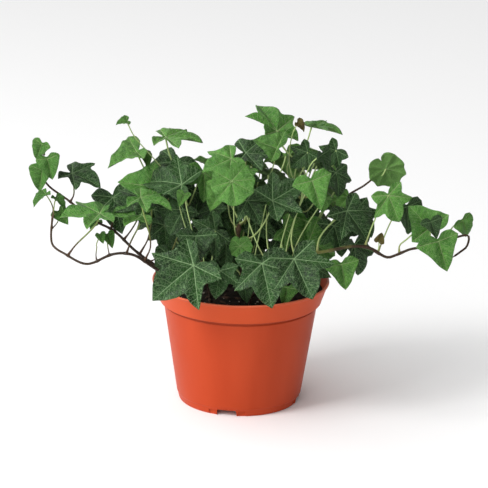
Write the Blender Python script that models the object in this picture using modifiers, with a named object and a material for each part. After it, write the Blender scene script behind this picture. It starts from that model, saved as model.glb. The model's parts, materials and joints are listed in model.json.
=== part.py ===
"""A potted ivy: a flared plastic nursery pot, its soil, ten climbing stems and forty-eight leaves.

Every leaf is one piece, a thin lobed blade grown together with its stalk. Metres, +Z up. The origin
is the centre of the pot's underside, and the front of the plant faces -Y.
"""

import math

import bmesh
import bpy
from mathutils import Matrix, Quaternion, Vector
from mathutils.bvhtree import BVHTree

MM = 0.001
GAP = 0.3 * MM

# Pot
POT_HEIGHT = 106.6 * MM
RIM_RADIUS = 76 * MM
BAND_HEIGHT = 18 * MM
BAND_FOOT_RADIUS = 69.5 * MM
LEDGE_DEPTH = 3.1 * MM
FOOT_RADIUS = 53 * MM
WALL = 1.6 * MM
FLOOR_LIFT = 5 * MM
FOOT_RING_WIDTH = 3 * MM
DISC_RADIUS = 14 * MM
NOTCH_COUNT = 4
NOTCH_WIDTH = 17 * MM
NOTCH_HEIGHT = 4.5 * MM
NOTCH_TURN = math.radians(-101)
DRAIN_COUNT = 8
DRAIN_RADIUS = 4 * MM
DRAIN_CIRCLE_RADIUS = 32 * MM
POT_SIDES = 40

# Soil
SOIL_BELOW_RIM = 9 * MM
SOIL_CROWN = 4 * MM
SOIL_GAP = 0.4 * MM
ROOT_DEPTH = 15 * MM
SOIL_RINGS = 3
SOCKET_SIDES = 8
DRAIN_SIDES = 12

# Stems and leaves
STEM_POINT_SPACING = 8 * MM
STEM_TIP_SHARE = 0.55
LEAF_SCALE = 1.0
BLADE_THICKNESS = 0.6 * MM
RING_SHARE = 0.55
STALK_BASE_RADIUS = 0.45 * MM
STALK_RADIUS_SHARE = 0.013
STALK_PIECES = 5
FOOT_REACH = 0.35
JOINT_REACH = 0.3
SLIDE_STEP = 2 * MM
MOST_SLIDES = 30
SHIFT_STEP = 7 * MM

# Each mould is half a leaf's outline, from the notch at its stalk round one side to its tip, in leaf
# lengths, then how much the two halves fold up and how much the lobes droop.
MOULDS = {
    "lobed": (
        (
            (0, -0.06),
            (0.12, -0.21),
            (0.32, -0.28),
            (0.52, -0.20),
            (0.39, 0.06),
            (0.68, 0.45),
            (0.46, 0.46),
            (0.26, 0.45),
            (0.23, 0.62),
            (0.13, 0.82),
            (0, 1.0),
        ),
        0.22,
        0.16,
    ),
    "three": (
        (
            (0, -0.08),
            (0.20, -0.24),
            (0.46, -0.24),
            (0.68, -0.04),
            (0.52, 0.25),
            (0.36, 0.45),
            (0.20, 0.74),
            (0, 1.0),
        ),
        0.26,
        0.20,
    ),
    "round": (
        (
            (0, -0.45),
            (0.08, -0.66),
            (0.38, -0.72),
            (0.66, -0.55),
            (0.80, -0.22),
            (0.90, 0.10),
            (0.79, 0.36),
            (0.74, 0.64),
            (0.46, 0.77),
            (0.28, 0.93),
            (0, 1.0),
        ),
        0.05,
        0.10,
    ),
    "young": (
        (
            (0, -0.10),
            (0.28, -0.25),
            (0.55, -0.10),
            (0.50, 0.20),
            (0.40, 0.44),
            (0.22, 0.76),
            (0, 1.0),
        ),
        0.40,
        0.30,
    ),
}

# Base colour and roughness of each material
MATERIALS = {
    "pot_plastic": ((0.62, 0.10, 0.032), 0.42),
    "soil": ((0.018, 0.011, 0.007), 0.95),
    "stem_bark": ((0.085, 0.042, 0.028), 0.6),
    "leaf_dark": ((0.022, 0.085, 0.030), 0.38),
    "leaf_mid": ((0.055, 0.20, 0.040), 0.38),
    "leaf_light": ((0.16, 0.38, 0.065), 0.40),
    "leaf_tip": ((0.20, 0.13, 0.05), 0.42),
}

# Each stem: its thickness at the root, then its route, root first, in millimetres. Heights here and
# in the leaves' list are above the pot's rim.
STEMS = {
    "runner_left_low": (
        3.0,
        (
            (-42, -22),
            (-50, -26, 9),
            (-69, -30, 15),
            (-90, -33, 29),
            (-108, -35, 30),
            (-129, -38, 22),
            (-148, -36, 30),
            (-159, -29, 36),
            (-160, -24, 49),
            (-159, -20, 61),
        ),
    ),
    "runner_left_high": (
        2.8,
        (
            (-48, -4),
            (-58, -6, 5),
            (-74, -10, 14),
            (-91, -14, 28),
            (-108, -16, 45),
            (-126, -15, 54),
            (-147, -9, 69),
            (-164, -4, 80),
            (-171, -2, 92),
            (-168, -1, 106),
        ),
    ),
    "runner_right_low": (
        3.2,
        (
            (26, -42),
            (34, -48, 25),
            (52, -50, 37),
            (71, -44, 39),
            (94, -38, 42),
            (109, -34, 39),
            (123, -32, 31),
            (141, -28, 37),
            (164, -22, 40),
            (180, -20, 46),
            (191, -20, 48),
            (190, -24, 40),
            (178, -28, 31),
        ),
    ),
    "runner_right_high": (
        2.8,
        (
            (44, 8),
            (54, 10, 23),
            (72, 10, 53),
            (88, 8, 72),
            (103, 2, 84),
            (113, -2, 94),
        ),
    ),
    "stem_front_left": (
        3.0,
        (
            (-26, -36),
            (-30, -40, 15),
            (-34, -38, 31),
            (-36, -34, 45),
        ),
    ),
    "stem_front_right": (
        3.0,
        (
            (8, -50),
            (16, -52, 11),
            (24, -50, 27),
            (28, -44, 41),
        ),
    ),
    "stem_middle": (
        3.2,
        (
            (2, -16),
            (0, -20, 17),
            (-3, -24, 39),
            (-2, -28, 59),
        ),
    ),
    "stem_back_left": (
        3.2,
        (
            (-30, 16),
            (-36, 16, 19),
            (-50, 12, 43),
            (-66, 8, 65),
        ),
    ),
    "stem_back_right": (
        3.2,
        (
            (28, 20),
            (34, 18, 23),
            (46, 14, 53),
            (54, 10, 83),
        ),
    ),
    "stem_back": (
        3.0,
        (
            (0, 42),
            (4, 48, 17),
            (2, 54, 39),
            (-4, 58, 61),
        ),
    ),
}

# Each leaf, biggest and frontmost first: its mould, its length from stalk to tip in millimetres, where
# its stalk joins it in millimetres, the compass direction and the height in degrees that its upper face
# looks to, how far its tip is turned from hanging straight down, the stem that it grows from, how far
# along that stem, and its material.
LEAVES = (
    ("lobed", 44, (-39, -75, 34), (-100, 38), -45, "stem_front_left", 0.62, "leaf_dark"),
    ("lobed", 37, (17, -82, 39), (-90, 36), 14, "stem_front_right", 0.62, "leaf_dark"),
    ("lobed", 37, (43, -80, 44), (-80, 34), 20, "stem_front_right", 0.80, "leaf_dark"),
    ("round", 20.5, (-9, -60, 102), (-90, 20), 12, "stem_middle", 1.0, "leaf_light"),
    ("three", 25, (57, -50, 101), (-85, 28), 18, "runner_right_low", 0.24, "leaf_light"),
    ("lobed", 38, (-51, -25, 89), (-95, 58), -110, "stem_back_left", 0.62, "leaf_dark"),
    ("lobed", 31, (25, -45, 82), (-90, 38), 125, "stem_middle", 0.72, "leaf_dark"),
    ("lobed", 41, (-119, -30, 64), (-90, 80), -84, "runner_left_low", 0.72, "leaf_light"),
    ("three", 25, (-38, -60, 53), (-90, 18), 2, "stem_front_left", 1.0, "leaf_dark"),
    ("lobed", 35, (-22, -58, 53), (-62, 18), -8, "stem_front_left", 0.80, "leaf_dark"),
    ("lobed", 36, (28, 10, 128), (-35, 52), 160, "stem_back_right", 1.0, "leaf_light"),
    ("lobed", 32, (-66, 10, 121), (-90, 84), 84, "stem_back_left", 0.86, "leaf_mid"),
    ("lobed", 24, (78, -5, 116), (-90, 14), 8, "stem_back_right", 0.86, "leaf_dark"),
    ("round", 18, (120, -10, 102), (95, 8), 20, "runner_right_high", 1.0, "leaf_light"),
    ("lobed", 31, (122, -28, 84), (-92, 6), -28, "runner_right_low", 0.52, "leaf_light"),
    ("three", 28, (158, -18, 53), (-95, 28), -140, "runner_right_low", 0.66, "leaf_light"),
    ("three", 27, (165, -32, 46), (-85, 16), 18, "runner_right_low", 0.74, "leaf_light"),
    ("three", 25, (140, 5, 65), (-55, 10), 8, "runner_right_low", 0.58, "leaf_dark"),
    ("lobed", 28, (-84, -40, 83), (-90, 78), 72, "runner_left_low", 0.34, "leaf_light"),
    ("lobed", 27, (-10, -25, 112), (-90, 58), -62, "stem_middle", 0.86, "leaf_light"),
    ("three", 28, (-78, -14, 83), (-90, 34), -98, "runner_left_high", 0.30, "leaf_light"),
    ("three", 28, (-90, 0, 110), (-130, 62), -30, "stem_back_left", 1.0, "leaf_mid"),
    ("lobed", 32, (2, 0, 111), (-90, 66), 88, "stem_middle", 0.58, "leaf_dark"),
    ("lobed", 33, (-58, 5, 94), (-90, 60), -28, "stem_back_left", 0.72, "leaf_dark"),
    ("lobed", 30, (-84, -5, 71), (-90, 66), -60, "runner_left_high", 0.40, "leaf_dark"),
    ("lobed", 30, (-84, -30, 61), (-90, 74), -90, "runner_left_low", 0.42, "leaf_mid"),
    ("lobed", 27, (-145, 5, 89), (-80, 72), 60, "runner_left_high", 0.70, "leaf_dark"),
    ("lobed", 32, (88, -25, 69), (-62, 34), 28, "runner_right_low", 0.34, "leaf_dark"),
    ("lobed", 27, (78, -15, 53), (-70, 28), 10, "runner_right_high", 0.40, "leaf_dark"),
    ("lobed", 27, (78, -15, 100), (-60, 14), 12, "stem_back_right", 0.72, "leaf_dark"),
    ("three", 22, (84, -42, 27), (-80, 14), 10, "runner_right_low", 0.29, "leaf_mid"),
    ("lobed", 27, (95, -25, 39), (-40, 8), 6, "runner_right_low", 0.40, "leaf_dark"),
    ("lobed", 27, (57, 5, 134), (60, 80), -58, "stem_back_right", 0.94, "leaf_mid"),
    ("three", 22, (28, -10, 119), (-90, 40), -112, "stem_middle", 0.94, "leaf_mid"),
    ("lobed", 24, (54, -10, 115), (-90, 18), 4, "stem_back_right", 0.64, "leaf_dark"),
    ("three", 19, (65, -15, 117), (-30, 20), 6, "stem_back_right", 0.79, "leaf_dark"),
    ("round", 11, (-1, -50, 44), (-90, 26), 4, "stem_middle", 0.44, "leaf_light"),
    ("lobed", 25, (-17, -72, 29), (-96, 46), -4, "stem_front_left", 0.46, "leaf_dark"),
    ("young", 18, (-164, -14, 106), (-90, 12), 14, "runner_left_high", 0.985, "leaf_light"),
    ("young", 18, (-169, -10, 94), (-100, 24), -6, "runner_left_high", 0.93, "leaf_light"),
    ("young", 15, (-169, -8, 117), (-110, 20), -20, "runner_left_high", 1.0, "leaf_light"),
    ("young", 15, (-165, -20, 77), (-150, 58), 0, "runner_left_low", 1.0, "leaf_light"),
    ("young", 13, (-156, -22, 74), (-30, 50), 0, "runner_left_low", 0.97, "leaf_light"),
    ("young", 15, (-84, -8, 105), (-60, 30), 10, "stem_back_left", 0.93, "leaf_mid"),
    ("young", 14, (-119, -25, 44), (-100, 40), -20, "runner_left_low", 0.56, "leaf_light"),
    ("young", 10, (-98, 5, 137), (-90, 60), -70, "stem_back_left", 0.98, "leaf_light"),
    ("young", 18, (186, -14, 59), (-60, 10), 30, "runner_right_low", 0.84, "leaf_light"),
    ("young", 9, (45, -4, 140), (-60, 40), 40, "stem_back_right", 0.97, "leaf_tip"),
)


def above_rim(point):
    """A place given in millimetres, with its height above the rim."""
    return Vector(point) * MM + Vector((0, 0, POT_HEIGHT))


def clear_scene():
    for thing in list(bpy.data.objects):
        bpy.data.objects.remove(thing, do_unlink=True)


def new_collection(name):
    collection = bpy.data.collections.new(name)
    bpy.context.scene.collection.children.link(collection)
    return collection


def material(name):
    """The material of this name, made on first use."""
    if name in bpy.data.materials:
        return bpy.data.materials[name]
    colour, roughness = MATERIALS[name]
    made = bpy.data.materials.new(name)
    made.use_nodes = True
    shader = made.node_tree.nodes["Principled BSDF"]
    shader.inputs["Base Color"].default_value = (*colour, 1)
    shader.inputs["Roughness"].default_value = roughness
    shader.inputs["Metallic"].default_value = 0
    return made


def add_object(name, data, collection, material_name=None):
    made = bpy.data.objects.new(name, data)
    collection.objects.link(made)
    if material_name:
        data.materials.append(material(material_name))
    return made


def evaluated_mesh(thing):
    """A new mesh of the object with its modifiers applied, in the object's own space."""
    bpy.context.view_layer.update()
    graph = bpy.context.evaluated_depsgraph_get()
    return bpy.data.meshes.new_from_object(thing.evaluated_get(graph))


def bake_modifiers(thing):
    mesh = evaluated_mesh(thing)
    thing.modifiers.clear()
    thing.data = mesh


def turned(name, profile, collection, material_name):
    """A solid turned about Z from (radius, height) points that run from the axis round its section."""
    mesh = bpy.data.meshes.new(name)
    points = [(radius, 0, height) for radius, height in profile]
    edges = [(index, index + 1) for index in range(len(points) - 1)]
    mesh.from_pydata(points, edges, [])
    made = add_object(name, mesh, collection, material_name)
    screw = made.modifiers.new("Turn", "SCREW")
    screw.steps = POT_SIDES
    screw.render_steps = POT_SIDES
    screw.use_merge_vertices = True
    screw.merge_threshold = 0.00005
    screw.use_smooth_shade = True
    return made


def cut(body, cutter):
    cutter.hide_render = True
    cutter.display_type = "WIRE"
    boolean = body.modifiers.new(cutter.name, "BOOLEAN")
    boolean.operation = "DIFFERENCE"
    boolean.solver = "EXACT"
    boolean.object = cutter


# ---- Pot and soil ----


def outer_radius(height):
    """The wall's outer radius below the band."""
    ledge_height = POT_HEIGHT - BAND_HEIGHT
    share = height / ledge_height
    return FOOT_RADIUS + (BAND_FOOT_RADIUS - LEDGE_DEPTH - FOOT_RADIUS) * share


def inside_of_pot():
    """The inner wall's (radius, height) points, from the floor's edge up to the rim."""
    floor = FLOOR_LIFT + WALL
    ledge = POT_HEIGHT - BAND_HEIGHT
    return [
        (outer_radius(floor) - WALL, floor),
        (outer_radius(ledge) - WALL, ledge - WALL),
        (BAND_FOOT_RADIUS - WALL, ledge + WALL),
        (RIM_RADIUS - 1.25 * WALL, POT_HEIGHT - WALL / 3),
    ]


def make_pot(parts, cutters):
    ledge = POT_HEIGHT - BAND_HEIGHT
    profile = [(0, FLOOR_LIFT + WALL), *inside_of_pot()]
    profile += [
        (RIM_RADIUS - WALL, POT_HEIGHT),
        (RIM_RADIUS - WALL / 4, POT_HEIGHT),
        (RIM_RADIUS, POT_HEIGHT - WALL / 3),
        (BAND_FOOT_RADIUS, ledge),
        (outer_radius(ledge), ledge - WALL / 3),
        (outer_radius(WALL / 2), WALL / 2),
        (FOOT_RADIUS - WALL / 2, 0),
        (FOOT_RADIUS - FOOT_RING_WIDTH, 0),
        (FOOT_RADIUS - FOOT_RING_WIDTH, FLOOR_LIFT),
        (DISC_RADIUS, FLOOR_LIFT),
        (DISC_RADIUS, 0),
        (0, 0),
    ]
    pot = turned("pot", profile, parts, "pot_plastic")
    for index in range(NOTCH_COUNT):
        turn = NOTCH_TURN + index * math.tau / NOTCH_COUNT
        cut(pot, notch_cutter(index, turn, cutters))
    for index in range(DRAIN_COUNT):
        turn = NOTCH_TURN + (index + 0.5) * math.tau / DRAIN_COUNT
        centre = Vector((math.cos(turn), math.sin(turn), 0)) * DRAIN_CIRCLE_RADIUS
        span = (FLOOR_LIFT - GAP, FLOOR_LIFT + WALL + GAP)
        name = f"drain_cutter_{index + 1}"
        cut(pot, upright_cutter(name, centre, DRAIN_RADIUS, span, DRAIN_SIDES, cutters))
    return pot


def notch_cutter(index, turn, cutters):
    """A box through the foot ring, open at the bottom."""
    mesh = bpy.data.meshes.new(f"notch_cutter_{index + 1}")
    shape = bmesh.new()
    bmesh.ops.create_cube(shape, size=1)
    bmesh.ops.scale(shape, vec=(4 * FOOT_RING_WIDTH, NOTCH_WIDTH, 2 * NOTCH_HEIGHT), verts=shape.verts)
    shape.to_mesh(mesh)
    shape.free()
    cutter = add_object(mesh.name, mesh, cutters)
    cutter.location = Vector((math.cos(turn), math.sin(turn), 0)) * FOOT_RADIUS
    cutter.rotation_euler.z = turn
    return cutter


def upright_cutter(name, centre, radius, span, sides, cutters):
    """An upright round cutter whose ends are at the two heights in span."""
    mesh = bpy.data.meshes.new(name)
    shape = bmesh.new()
    height = span[1] - span[0]
    bmesh.ops.create_cone(
        shape, cap_ends=True, segments=sides, radius1=radius, radius2=radius, depth=height
    )
    shape.to_mesh(mesh)
    shape.free()
    cutter = add_object(name, mesh, cutters)
    cutter.location = (centre.x, centre.y, (span[0] + span[1]) / 2)
    return cutter


def soil_height(x, y):
    """The height of the soil's gently crowned top over a place."""
    edge = RIM_RADIUS - 2 * WALL
    share = min(1, math.hypot(x, y) / edge)
    return POT_HEIGHT - SOIL_BELOW_RIM + SOIL_CROWN * (1 - share**2)


def make_soil(parts, cutters):
    """Fills the pot to just under its rim, with a socket for each rooted stem."""
    floor_edge, ledge_low, ledge_high, rim = inside_of_pot()
    edge_height = POT_HEIGHT - SOIL_BELOW_RIM
    share = (edge_height - ledge_high[1]) / (rim[1] - ledge_high[1])
    edge_radius = ledge_high[0] + (rim[0] - ledge_high[0]) * share
    profile = []
    for index in range(SOIL_RINGS):
        radius = edge_radius * index / SOIL_RINGS
        profile.append((radius, soil_height(radius, 0)))
    profile.append((edge_radius - SOIL_GAP, edge_height))
    for radius, height in (ledge_high, ledge_low, floor_edge):
        profile.append((radius - SOIL_GAP, max(height, floor_edge[1] + SOIL_GAP)))
    profile.append((0, floor_edge[1] + SOIL_GAP))
    soil = turned("soil", profile, parts, "soil")
    for name, (thickness, route) in STEMS.items():
        foot = root_of(route)
        centre = Vector((foot.x, foot.y, 0))
        span = (foot.z - GAP, soil_height(foot.x, foot.y) + 3 * thickness * MM)
        radius = thickness * MM / 2 + 2 * GAP
        cutter = upright_cutter(f"{name}_socket", centre, radius, span, SOCKET_SIDES, cutters)
        cut(soil, cutter)
    return soil


# ---- Stems ----


def root_of(route):
    """Where a stem's buried end is, under the first point of its route."""
    x, y = route[0][0] * MM, route[0][1] * MM
    return Vector((x, y, soil_height(x, y) - ROOT_DEPTH))


def smooth_route(points, spacing):
    """Points about this far apart on a smooth curve through the given ones."""
    ends = [2 * points[0] - points[1], *points, 2 * points[-1] - points[-2]]
    route = []
    for before, start, end, after in zip(ends, ends[1:], ends[2:], ends[3:]):
        count = max(1, round((end - start).length / spacing))
        for index in range(count):
            t = index / count
            bend = 2 * before - 5 * start + 4 * end - after
            twist = 3 * start - before - 3 * end + after
            route.append(start + 0.5 * ((end - before) * t + bend * t**2 + twist * t**3))
    return [*route, points[-1]]


def stem_route(route):
    """A stem's points, from its buried end straight up out of the soil and on along its route."""
    root = root_of(route)
    collar = root + Vector((0, 0, ROOT_DEPTH + 4 * MM))
    rest = [above_rim(point) for point in route[1:]]
    return [root, *smooth_route([collar, *rest], STEM_POINT_SPACING)]


def tube(name, points, radii, sides_level, collection):
    """A round tube along the points, as a curve with filled caps."""
    curve = bpy.data.curves.new(name, "CURVE")
    curve.dimensions = "3D"
    curve.bevel_depth = 1
    curve.bevel_resolution = sides_level
    curve.use_fill_caps = True
    spline = curve.splines.new("POLY")
    spline.points.add(len(points) - 1)
    for spline_point, place, radius in zip(spline.points, points, radii):
        spline_point.co = (*place, 1)
        spline_point.radius = radius
    return add_object(name, curve, collection)


def solid_from_curve(thing, collection, material_name=None):
    """The curve as a closed mesh object with its caps welded on. The curve is removed."""
    mesh = evaluated_mesh(thing)
    shape = bmesh.new()
    shape.from_mesh(mesh)
    bmesh.ops.remove_doubles(shape, verts=shape.verts, dist=0.00001)
    bmesh.ops.recalc_face_normals(shape, faces=shape.faces)
    shape.to_mesh(mesh)
    shape.free()
    name = thing.name
    place = thing.matrix_world.copy()
    bpy.data.objects.remove(thing, do_unlink=True)
    made = add_object(name, mesh, collection, material_name)
    made.matrix_world = place
    return made


def make_stem(name, parts):
    thickness, route = STEMS[name]
    points = stem_route(route)
    root_radius = thickness * MM / 2
    last = len(points) - 1
    radii = [root_radius * (1 - (1 - STEM_TIP_SHARE) * index / last) for index in range(last + 1)]
    curve = tube(name, points, radii, 1, parts)
    stem = solid_from_curve(curve, parts, "stem_bark")
    return stem, points, radii


def along(points, radii, share):
    """The place, direction and radius of a stem at a share of its points."""
    spot = share * (len(points) - 1)
    index = min(int(spot), len(points) - 2)
    t = spot - index
    place = points[index].lerp(points[index + 1], t)
    direction = (points[index + 1] - points[index]).normalized()
    return place, direction, radii[index] + (radii[index + 1] - radii[index]) * t


# ---- Leaves ----


def leaf_axes(face, turn):
    """A leaf's own axes as a rotation: X across it, Y to its tip, Z out of its upper face."""
    compass, height = (math.radians(angle) for angle in face)
    level = Vector((math.cos(compass), math.sin(compass), 0))
    normal = level * math.cos(height) + Vector((0, 0, math.sin(height)))
    hanging = level * math.sin(height) - Vector((0, 0, math.cos(height)))
    tip = Quaternion(normal, math.radians(turn)) @ hanging
    across = tip.cross(normal)
    return Matrix((across, tip, normal)).transposed()


def blade_shape(mould, length, thickness):
    """A leaf's blade as a closed bmesh, its stalk's joint at the origin and its top face at Z = 0."""
    half, fold, droop = MOULDS[mould]
    other_half = [(-x, y) for x, y in reversed(half[1:-1])]
    outline = [Vector((x, y, 0)) * length for x, y in (*half, *other_half)]
    shape = bmesh.new()
    ring = [shape.verts.new(point * RING_SHARE) for point in outline]
    middle = shape.faces.new(ring)
    bmesh.ops.poke(shape, faces=[middle])
    joint = next(vert for vert in shape.verts if vert not in ring)
    joint.co = (0, 0, 0)
    rim = [edge for edge in shape.edges if edge.is_boundary]
    grown = bmesh.ops.extrude_edge_only(shape, edges=rim)["geom"]
    for vert in grown:
        if isinstance(vert, bmesh.types.BMVert):
            vert.co /= RING_SHARE
    for vert in shape.verts:
        x, y = vert.co.x, vert.co.y
        vert.co.z = fold * abs(x) - droop * (x * x + y * y) / length
    bmesh.ops.recalc_face_normals(shape, faces=shape.faces)
    if joint.normal.z < 0:
        bmesh.ops.reverse_faces(shape, faces=shape.faces)
    bmesh.ops.solidify(shape, geom=shape.faces, thickness=thickness)
    bmesh.ops.recalc_face_normals(shape, faces=shape.faces)
    return shape


def stalk_points(place, stem_place, stem_direction, stem_radius, at_tip):
    """A stalk's centre line, from just off the stem's skin to the middle of the blade's thickness."""
    joint = place.translation
    normal = place.to_3x3().col[2]
    to_joint = joint - stem_place
    if at_tip:
        leaving = stem_direction
        start = stem_place + leaving * GAP
    else:
        leaving = (to_joint - to_joint.project(stem_direction)).normalized()
        start = stem_place + leaving * (stem_radius + GAP)
    end = joint - normal * BLADE_THICKNESS / 2
    span = (end - start).length
    first = start + leaving * span * FOOT_REACH
    second = end - normal * span * JOINT_REACH
    points = []
    for index in range(STALK_PIECES + 1):
        t = index / STALK_PIECES
        s = 1 - t
        points.append(s**3 * start + 3 * s * s * t * first + 3 * s * t * t * second + t**3 * end)
    return points


def world_tree(thing):
    """The object's surface, for finding what is near it."""
    shape = bmesh.new()
    shape.from_mesh(thing.data if not thing.modifiers else evaluated_mesh(thing))
    shape.transform(thing.matrix_world)
    tree = BVHTree.FromBMesh(shape)
    shape.free()
    return tree


def has_room(blade, place, stalk, radius, own_stem, others):
    """Whether the blade and its stalk, both a little oversize, touch none of the others. The foot of
    the stalk may be as near as it likes to the stem that it grows from."""
    moved = blade.copy()
    moved.transform(Matrix.Translation(place.to_3x3().col[2] * GAP) @ place)
    tree = BVHTree.FromBMesh(moved)
    moved.free()
    if any(tree.overlap(other) for other in others):
        return False
    clear = radius + 2 * GAP
    checked = []
    for start, end in zip(stalk[:-1], stalk[1:]):
        count = math.ceil((end - start).length / clear)
        checked += [start.lerp(end, index / count) for index in range(count)]
    for point in checked:
        at_foot = (point - stalk[0]).length < 3 * clear
        for other in others:
            if at_foot and other is own_stem:
                continue
            if other.find_nearest(point, clear)[0] is not None:
                return False
    return True


def places_to_try():
    """How far to move a leaf from its planned place to look for room: at first only forward and back,
    then from places that are shifted up, down, sideways and aslant as well."""
    for side, rise in ((0, 0), (0, 1), (0, -1), (1, 0), (-1, 0), (1, 1), (-1, 1), (-1, -1), (1, -1)):
        for index in range(MOST_SLIDES):
            slide = SLIDE_STEP * ((index + 1) // 2) * (1 if index % 2 else -1)
            yield Vector((side * SHIFT_STEP, slide, rise * SHIFT_STEP))


def make_leaf(number, row, stems, others, parts):
    """One leaf. Where its planned place is taken, it moves to the nearest room."""
    mould, length, joint, face, turn, stem, share, material_name = row
    length *= MM * LEAF_SCALE
    points, radii, own_stem = stems[stem]
    stem_place, stem_direction, stem_radius = along(points, radii, share)
    radius = STALK_BASE_RADIUS + STALK_RADIUS_SHARE * length
    axes = leaf_axes(face, turn).to_4x4()
    oversize = blade_shape(mould, length, BLADE_THICKNESS + 2 * GAP)
    for shift in places_to_try():
        place = Matrix.Translation(above_rim(joint) + shift) @ axes
        stalk = stalk_points(place, stem_place, stem_direction, stem_radius, share == 1.0)
        if has_room(oversize, place, stalk, radius, own_stem, others):
            break
    else:
        print(f"leaf {number} found no room")
    oversize.free()
    name = f"leaf_{mould}_{number:02d}"
    mesh = bpy.data.meshes.new(name)
    blade = blade_shape(mould, length, BLADE_THICKNESS)
    blade.to_mesh(mesh)
    blade.free()
    leaf = add_object(name, mesh, parts, material_name)
    leaf.matrix_world = place
    stalk_curve = tube(f"{name}_stalk", stalk, [radius] * len(stalk), 1, parts)
    stalk_solid = solid_from_curve(stalk_curve, parts)
    union = leaf.modifiers.new("Grown together", "BOOLEAN")
    union.operation = "UNION"
    union.solver = "EXACT"
    union.object = stalk_solid
    bake_modifiers(leaf)
    bpy.data.objects.remove(stalk_solid, do_unlink=True)
    return leaf


def main():
    clear_scene()
    parts = new_collection("potted_ivy")
    cutters = new_collection("cutters")
    others = [world_tree(make_pot(parts, cutters)), world_tree(make_soil(parts, cutters))]
    stems = {}
    for name in STEMS:
        stem, points, radii = make_stem(name, parts)
        stems[name] = (points, radii, world_tree(stem))
        others.append(stems[name][2])
    for number, row in enumerate(LEAVES, 1):
        leaf = make_leaf(number, row, stems, others, parts)
        others.append(world_tree(leaf))


main()
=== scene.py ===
# %% [markdown]
# # A potted ivy
#
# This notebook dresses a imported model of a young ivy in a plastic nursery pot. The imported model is
# plain: it holds the size and place of every leaf, stem and solid. Here each of them gets its fine
# shape and its finish, and the plant gets the small leaves that the plain model has no room for.
#
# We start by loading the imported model. Its objects stay where they are, and everything we make is
# placed by what we read from them, so nothing has to be fitted by eye.

import json
import math
import random

import bmesh
import bpy
from mathutils import Matrix, Quaternion, Vector, noise
from mathutils.bvhtree import BVHTree


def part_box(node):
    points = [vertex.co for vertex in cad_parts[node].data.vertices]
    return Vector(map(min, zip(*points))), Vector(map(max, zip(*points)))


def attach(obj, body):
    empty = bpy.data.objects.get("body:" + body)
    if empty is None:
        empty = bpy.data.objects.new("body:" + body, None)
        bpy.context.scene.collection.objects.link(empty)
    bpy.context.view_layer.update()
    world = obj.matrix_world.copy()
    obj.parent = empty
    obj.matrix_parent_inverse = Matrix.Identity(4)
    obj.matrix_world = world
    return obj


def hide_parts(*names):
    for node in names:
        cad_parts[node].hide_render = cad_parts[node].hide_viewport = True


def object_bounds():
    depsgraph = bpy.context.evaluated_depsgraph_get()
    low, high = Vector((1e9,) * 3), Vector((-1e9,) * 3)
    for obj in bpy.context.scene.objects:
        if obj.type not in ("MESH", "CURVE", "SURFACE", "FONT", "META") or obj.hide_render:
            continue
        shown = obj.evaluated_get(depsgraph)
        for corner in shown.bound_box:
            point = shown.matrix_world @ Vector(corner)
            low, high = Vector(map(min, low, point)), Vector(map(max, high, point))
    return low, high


MM = 0.001
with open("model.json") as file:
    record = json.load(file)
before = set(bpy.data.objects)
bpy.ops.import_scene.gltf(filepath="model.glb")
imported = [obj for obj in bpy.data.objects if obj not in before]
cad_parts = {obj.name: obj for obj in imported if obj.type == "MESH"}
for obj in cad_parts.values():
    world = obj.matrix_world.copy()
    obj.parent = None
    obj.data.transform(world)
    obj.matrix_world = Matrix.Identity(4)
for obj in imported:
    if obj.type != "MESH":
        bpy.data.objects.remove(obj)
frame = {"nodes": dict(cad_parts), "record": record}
cad_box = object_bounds()
slot_of = {part["node"]: part["material_slot"] for part in frame["record"]["subparts"]}
leaf_nodes = [name for name in frame["nodes"] if name.startswith("leaf_")]
leaf_nodes.sort(key=lambda name: name[-2:])
stem_nodes = sorted(name for name in frame["nodes"] if name.startswith(("stem_", "runner_")))
print(len(leaf_nodes), "leaves and", len(stem_nodes), "stems in the packed model")

# %% [markdown]
# ## The studio
#
# A plant like this is sold from a bright, nearly shadowless studio picture. We need a pale floor, a
# pale sky that lights it evenly, one broad soft light from the upper left that gives the leaves their
# shine, and a camera a little above the pot. A plane would do for the floor, and it stays a plane:
# it isn't part of the object.

# %% Floor, sky and lights
AIM = Vector((0.0021, 0, 0.1374))
WHITE = (0.97, 0.97, 0.97, 1)
FLOOR_SIZE = 12
SKY_FADE = {"From Min": -0.8, "From Max": 0.8, "To Min": 1.3, "To Max": 0.17}


def only(thing):
    """Selects this object alone, because an operator acts on all that is selected."""
    bpy.ops.object.select_all(action="DESELECT")
    thing.select_set(True)
    bpy.context.view_layer.objects.active = thing


def join(pieces):
    """Joins the pieces into the first of them."""
    only(pieces[0])
    for piece in pieces:
        piece.select_set(True)
    if len(pieces) > 1:
        bpy.ops.object.join()
    return pieces[0]


def put_in_scene(name, mesh):
    """A new object that shows this mesh."""
    made = bpy.data.objects.new(name, mesh)
    bpy.context.scene.collection.objects.link(made)
    return made


def soft_light(name, place, size, watts):
    """A square area light that looks at the plant."""
    bpy.ops.object.light_add(type="AREA", location=place)
    lamp = bpy.context.object
    lamp.name = name
    lamp.data.size = size
    lamp.data.energy = watts
    lamp.rotation_euler = (AIM - Vector(place)).to_track_quat("-Z", "Y").to_euler()


bpy.ops.object.select_all(action="DESELECT")
bpy.ops.mesh.primitive_plane_add(size=FLOOR_SIZE)
floor = bpy.context.object
floor.name = "studio_floor"
floor_paint = bpy.data.materials.new("studio_paint")
floor_paint.use_nodes = True
floor_shader = floor_paint.node_tree.nodes["Principled BSDF"]
floor_shader.inputs["Base Color"].default_value = WHITE
floor_shader.inputs["Roughness"].default_value = 0.9
floor_shader.inputs["Specular IOR Level"].default_value = 0.0
floor.data.materials.append(floor_paint)

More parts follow.
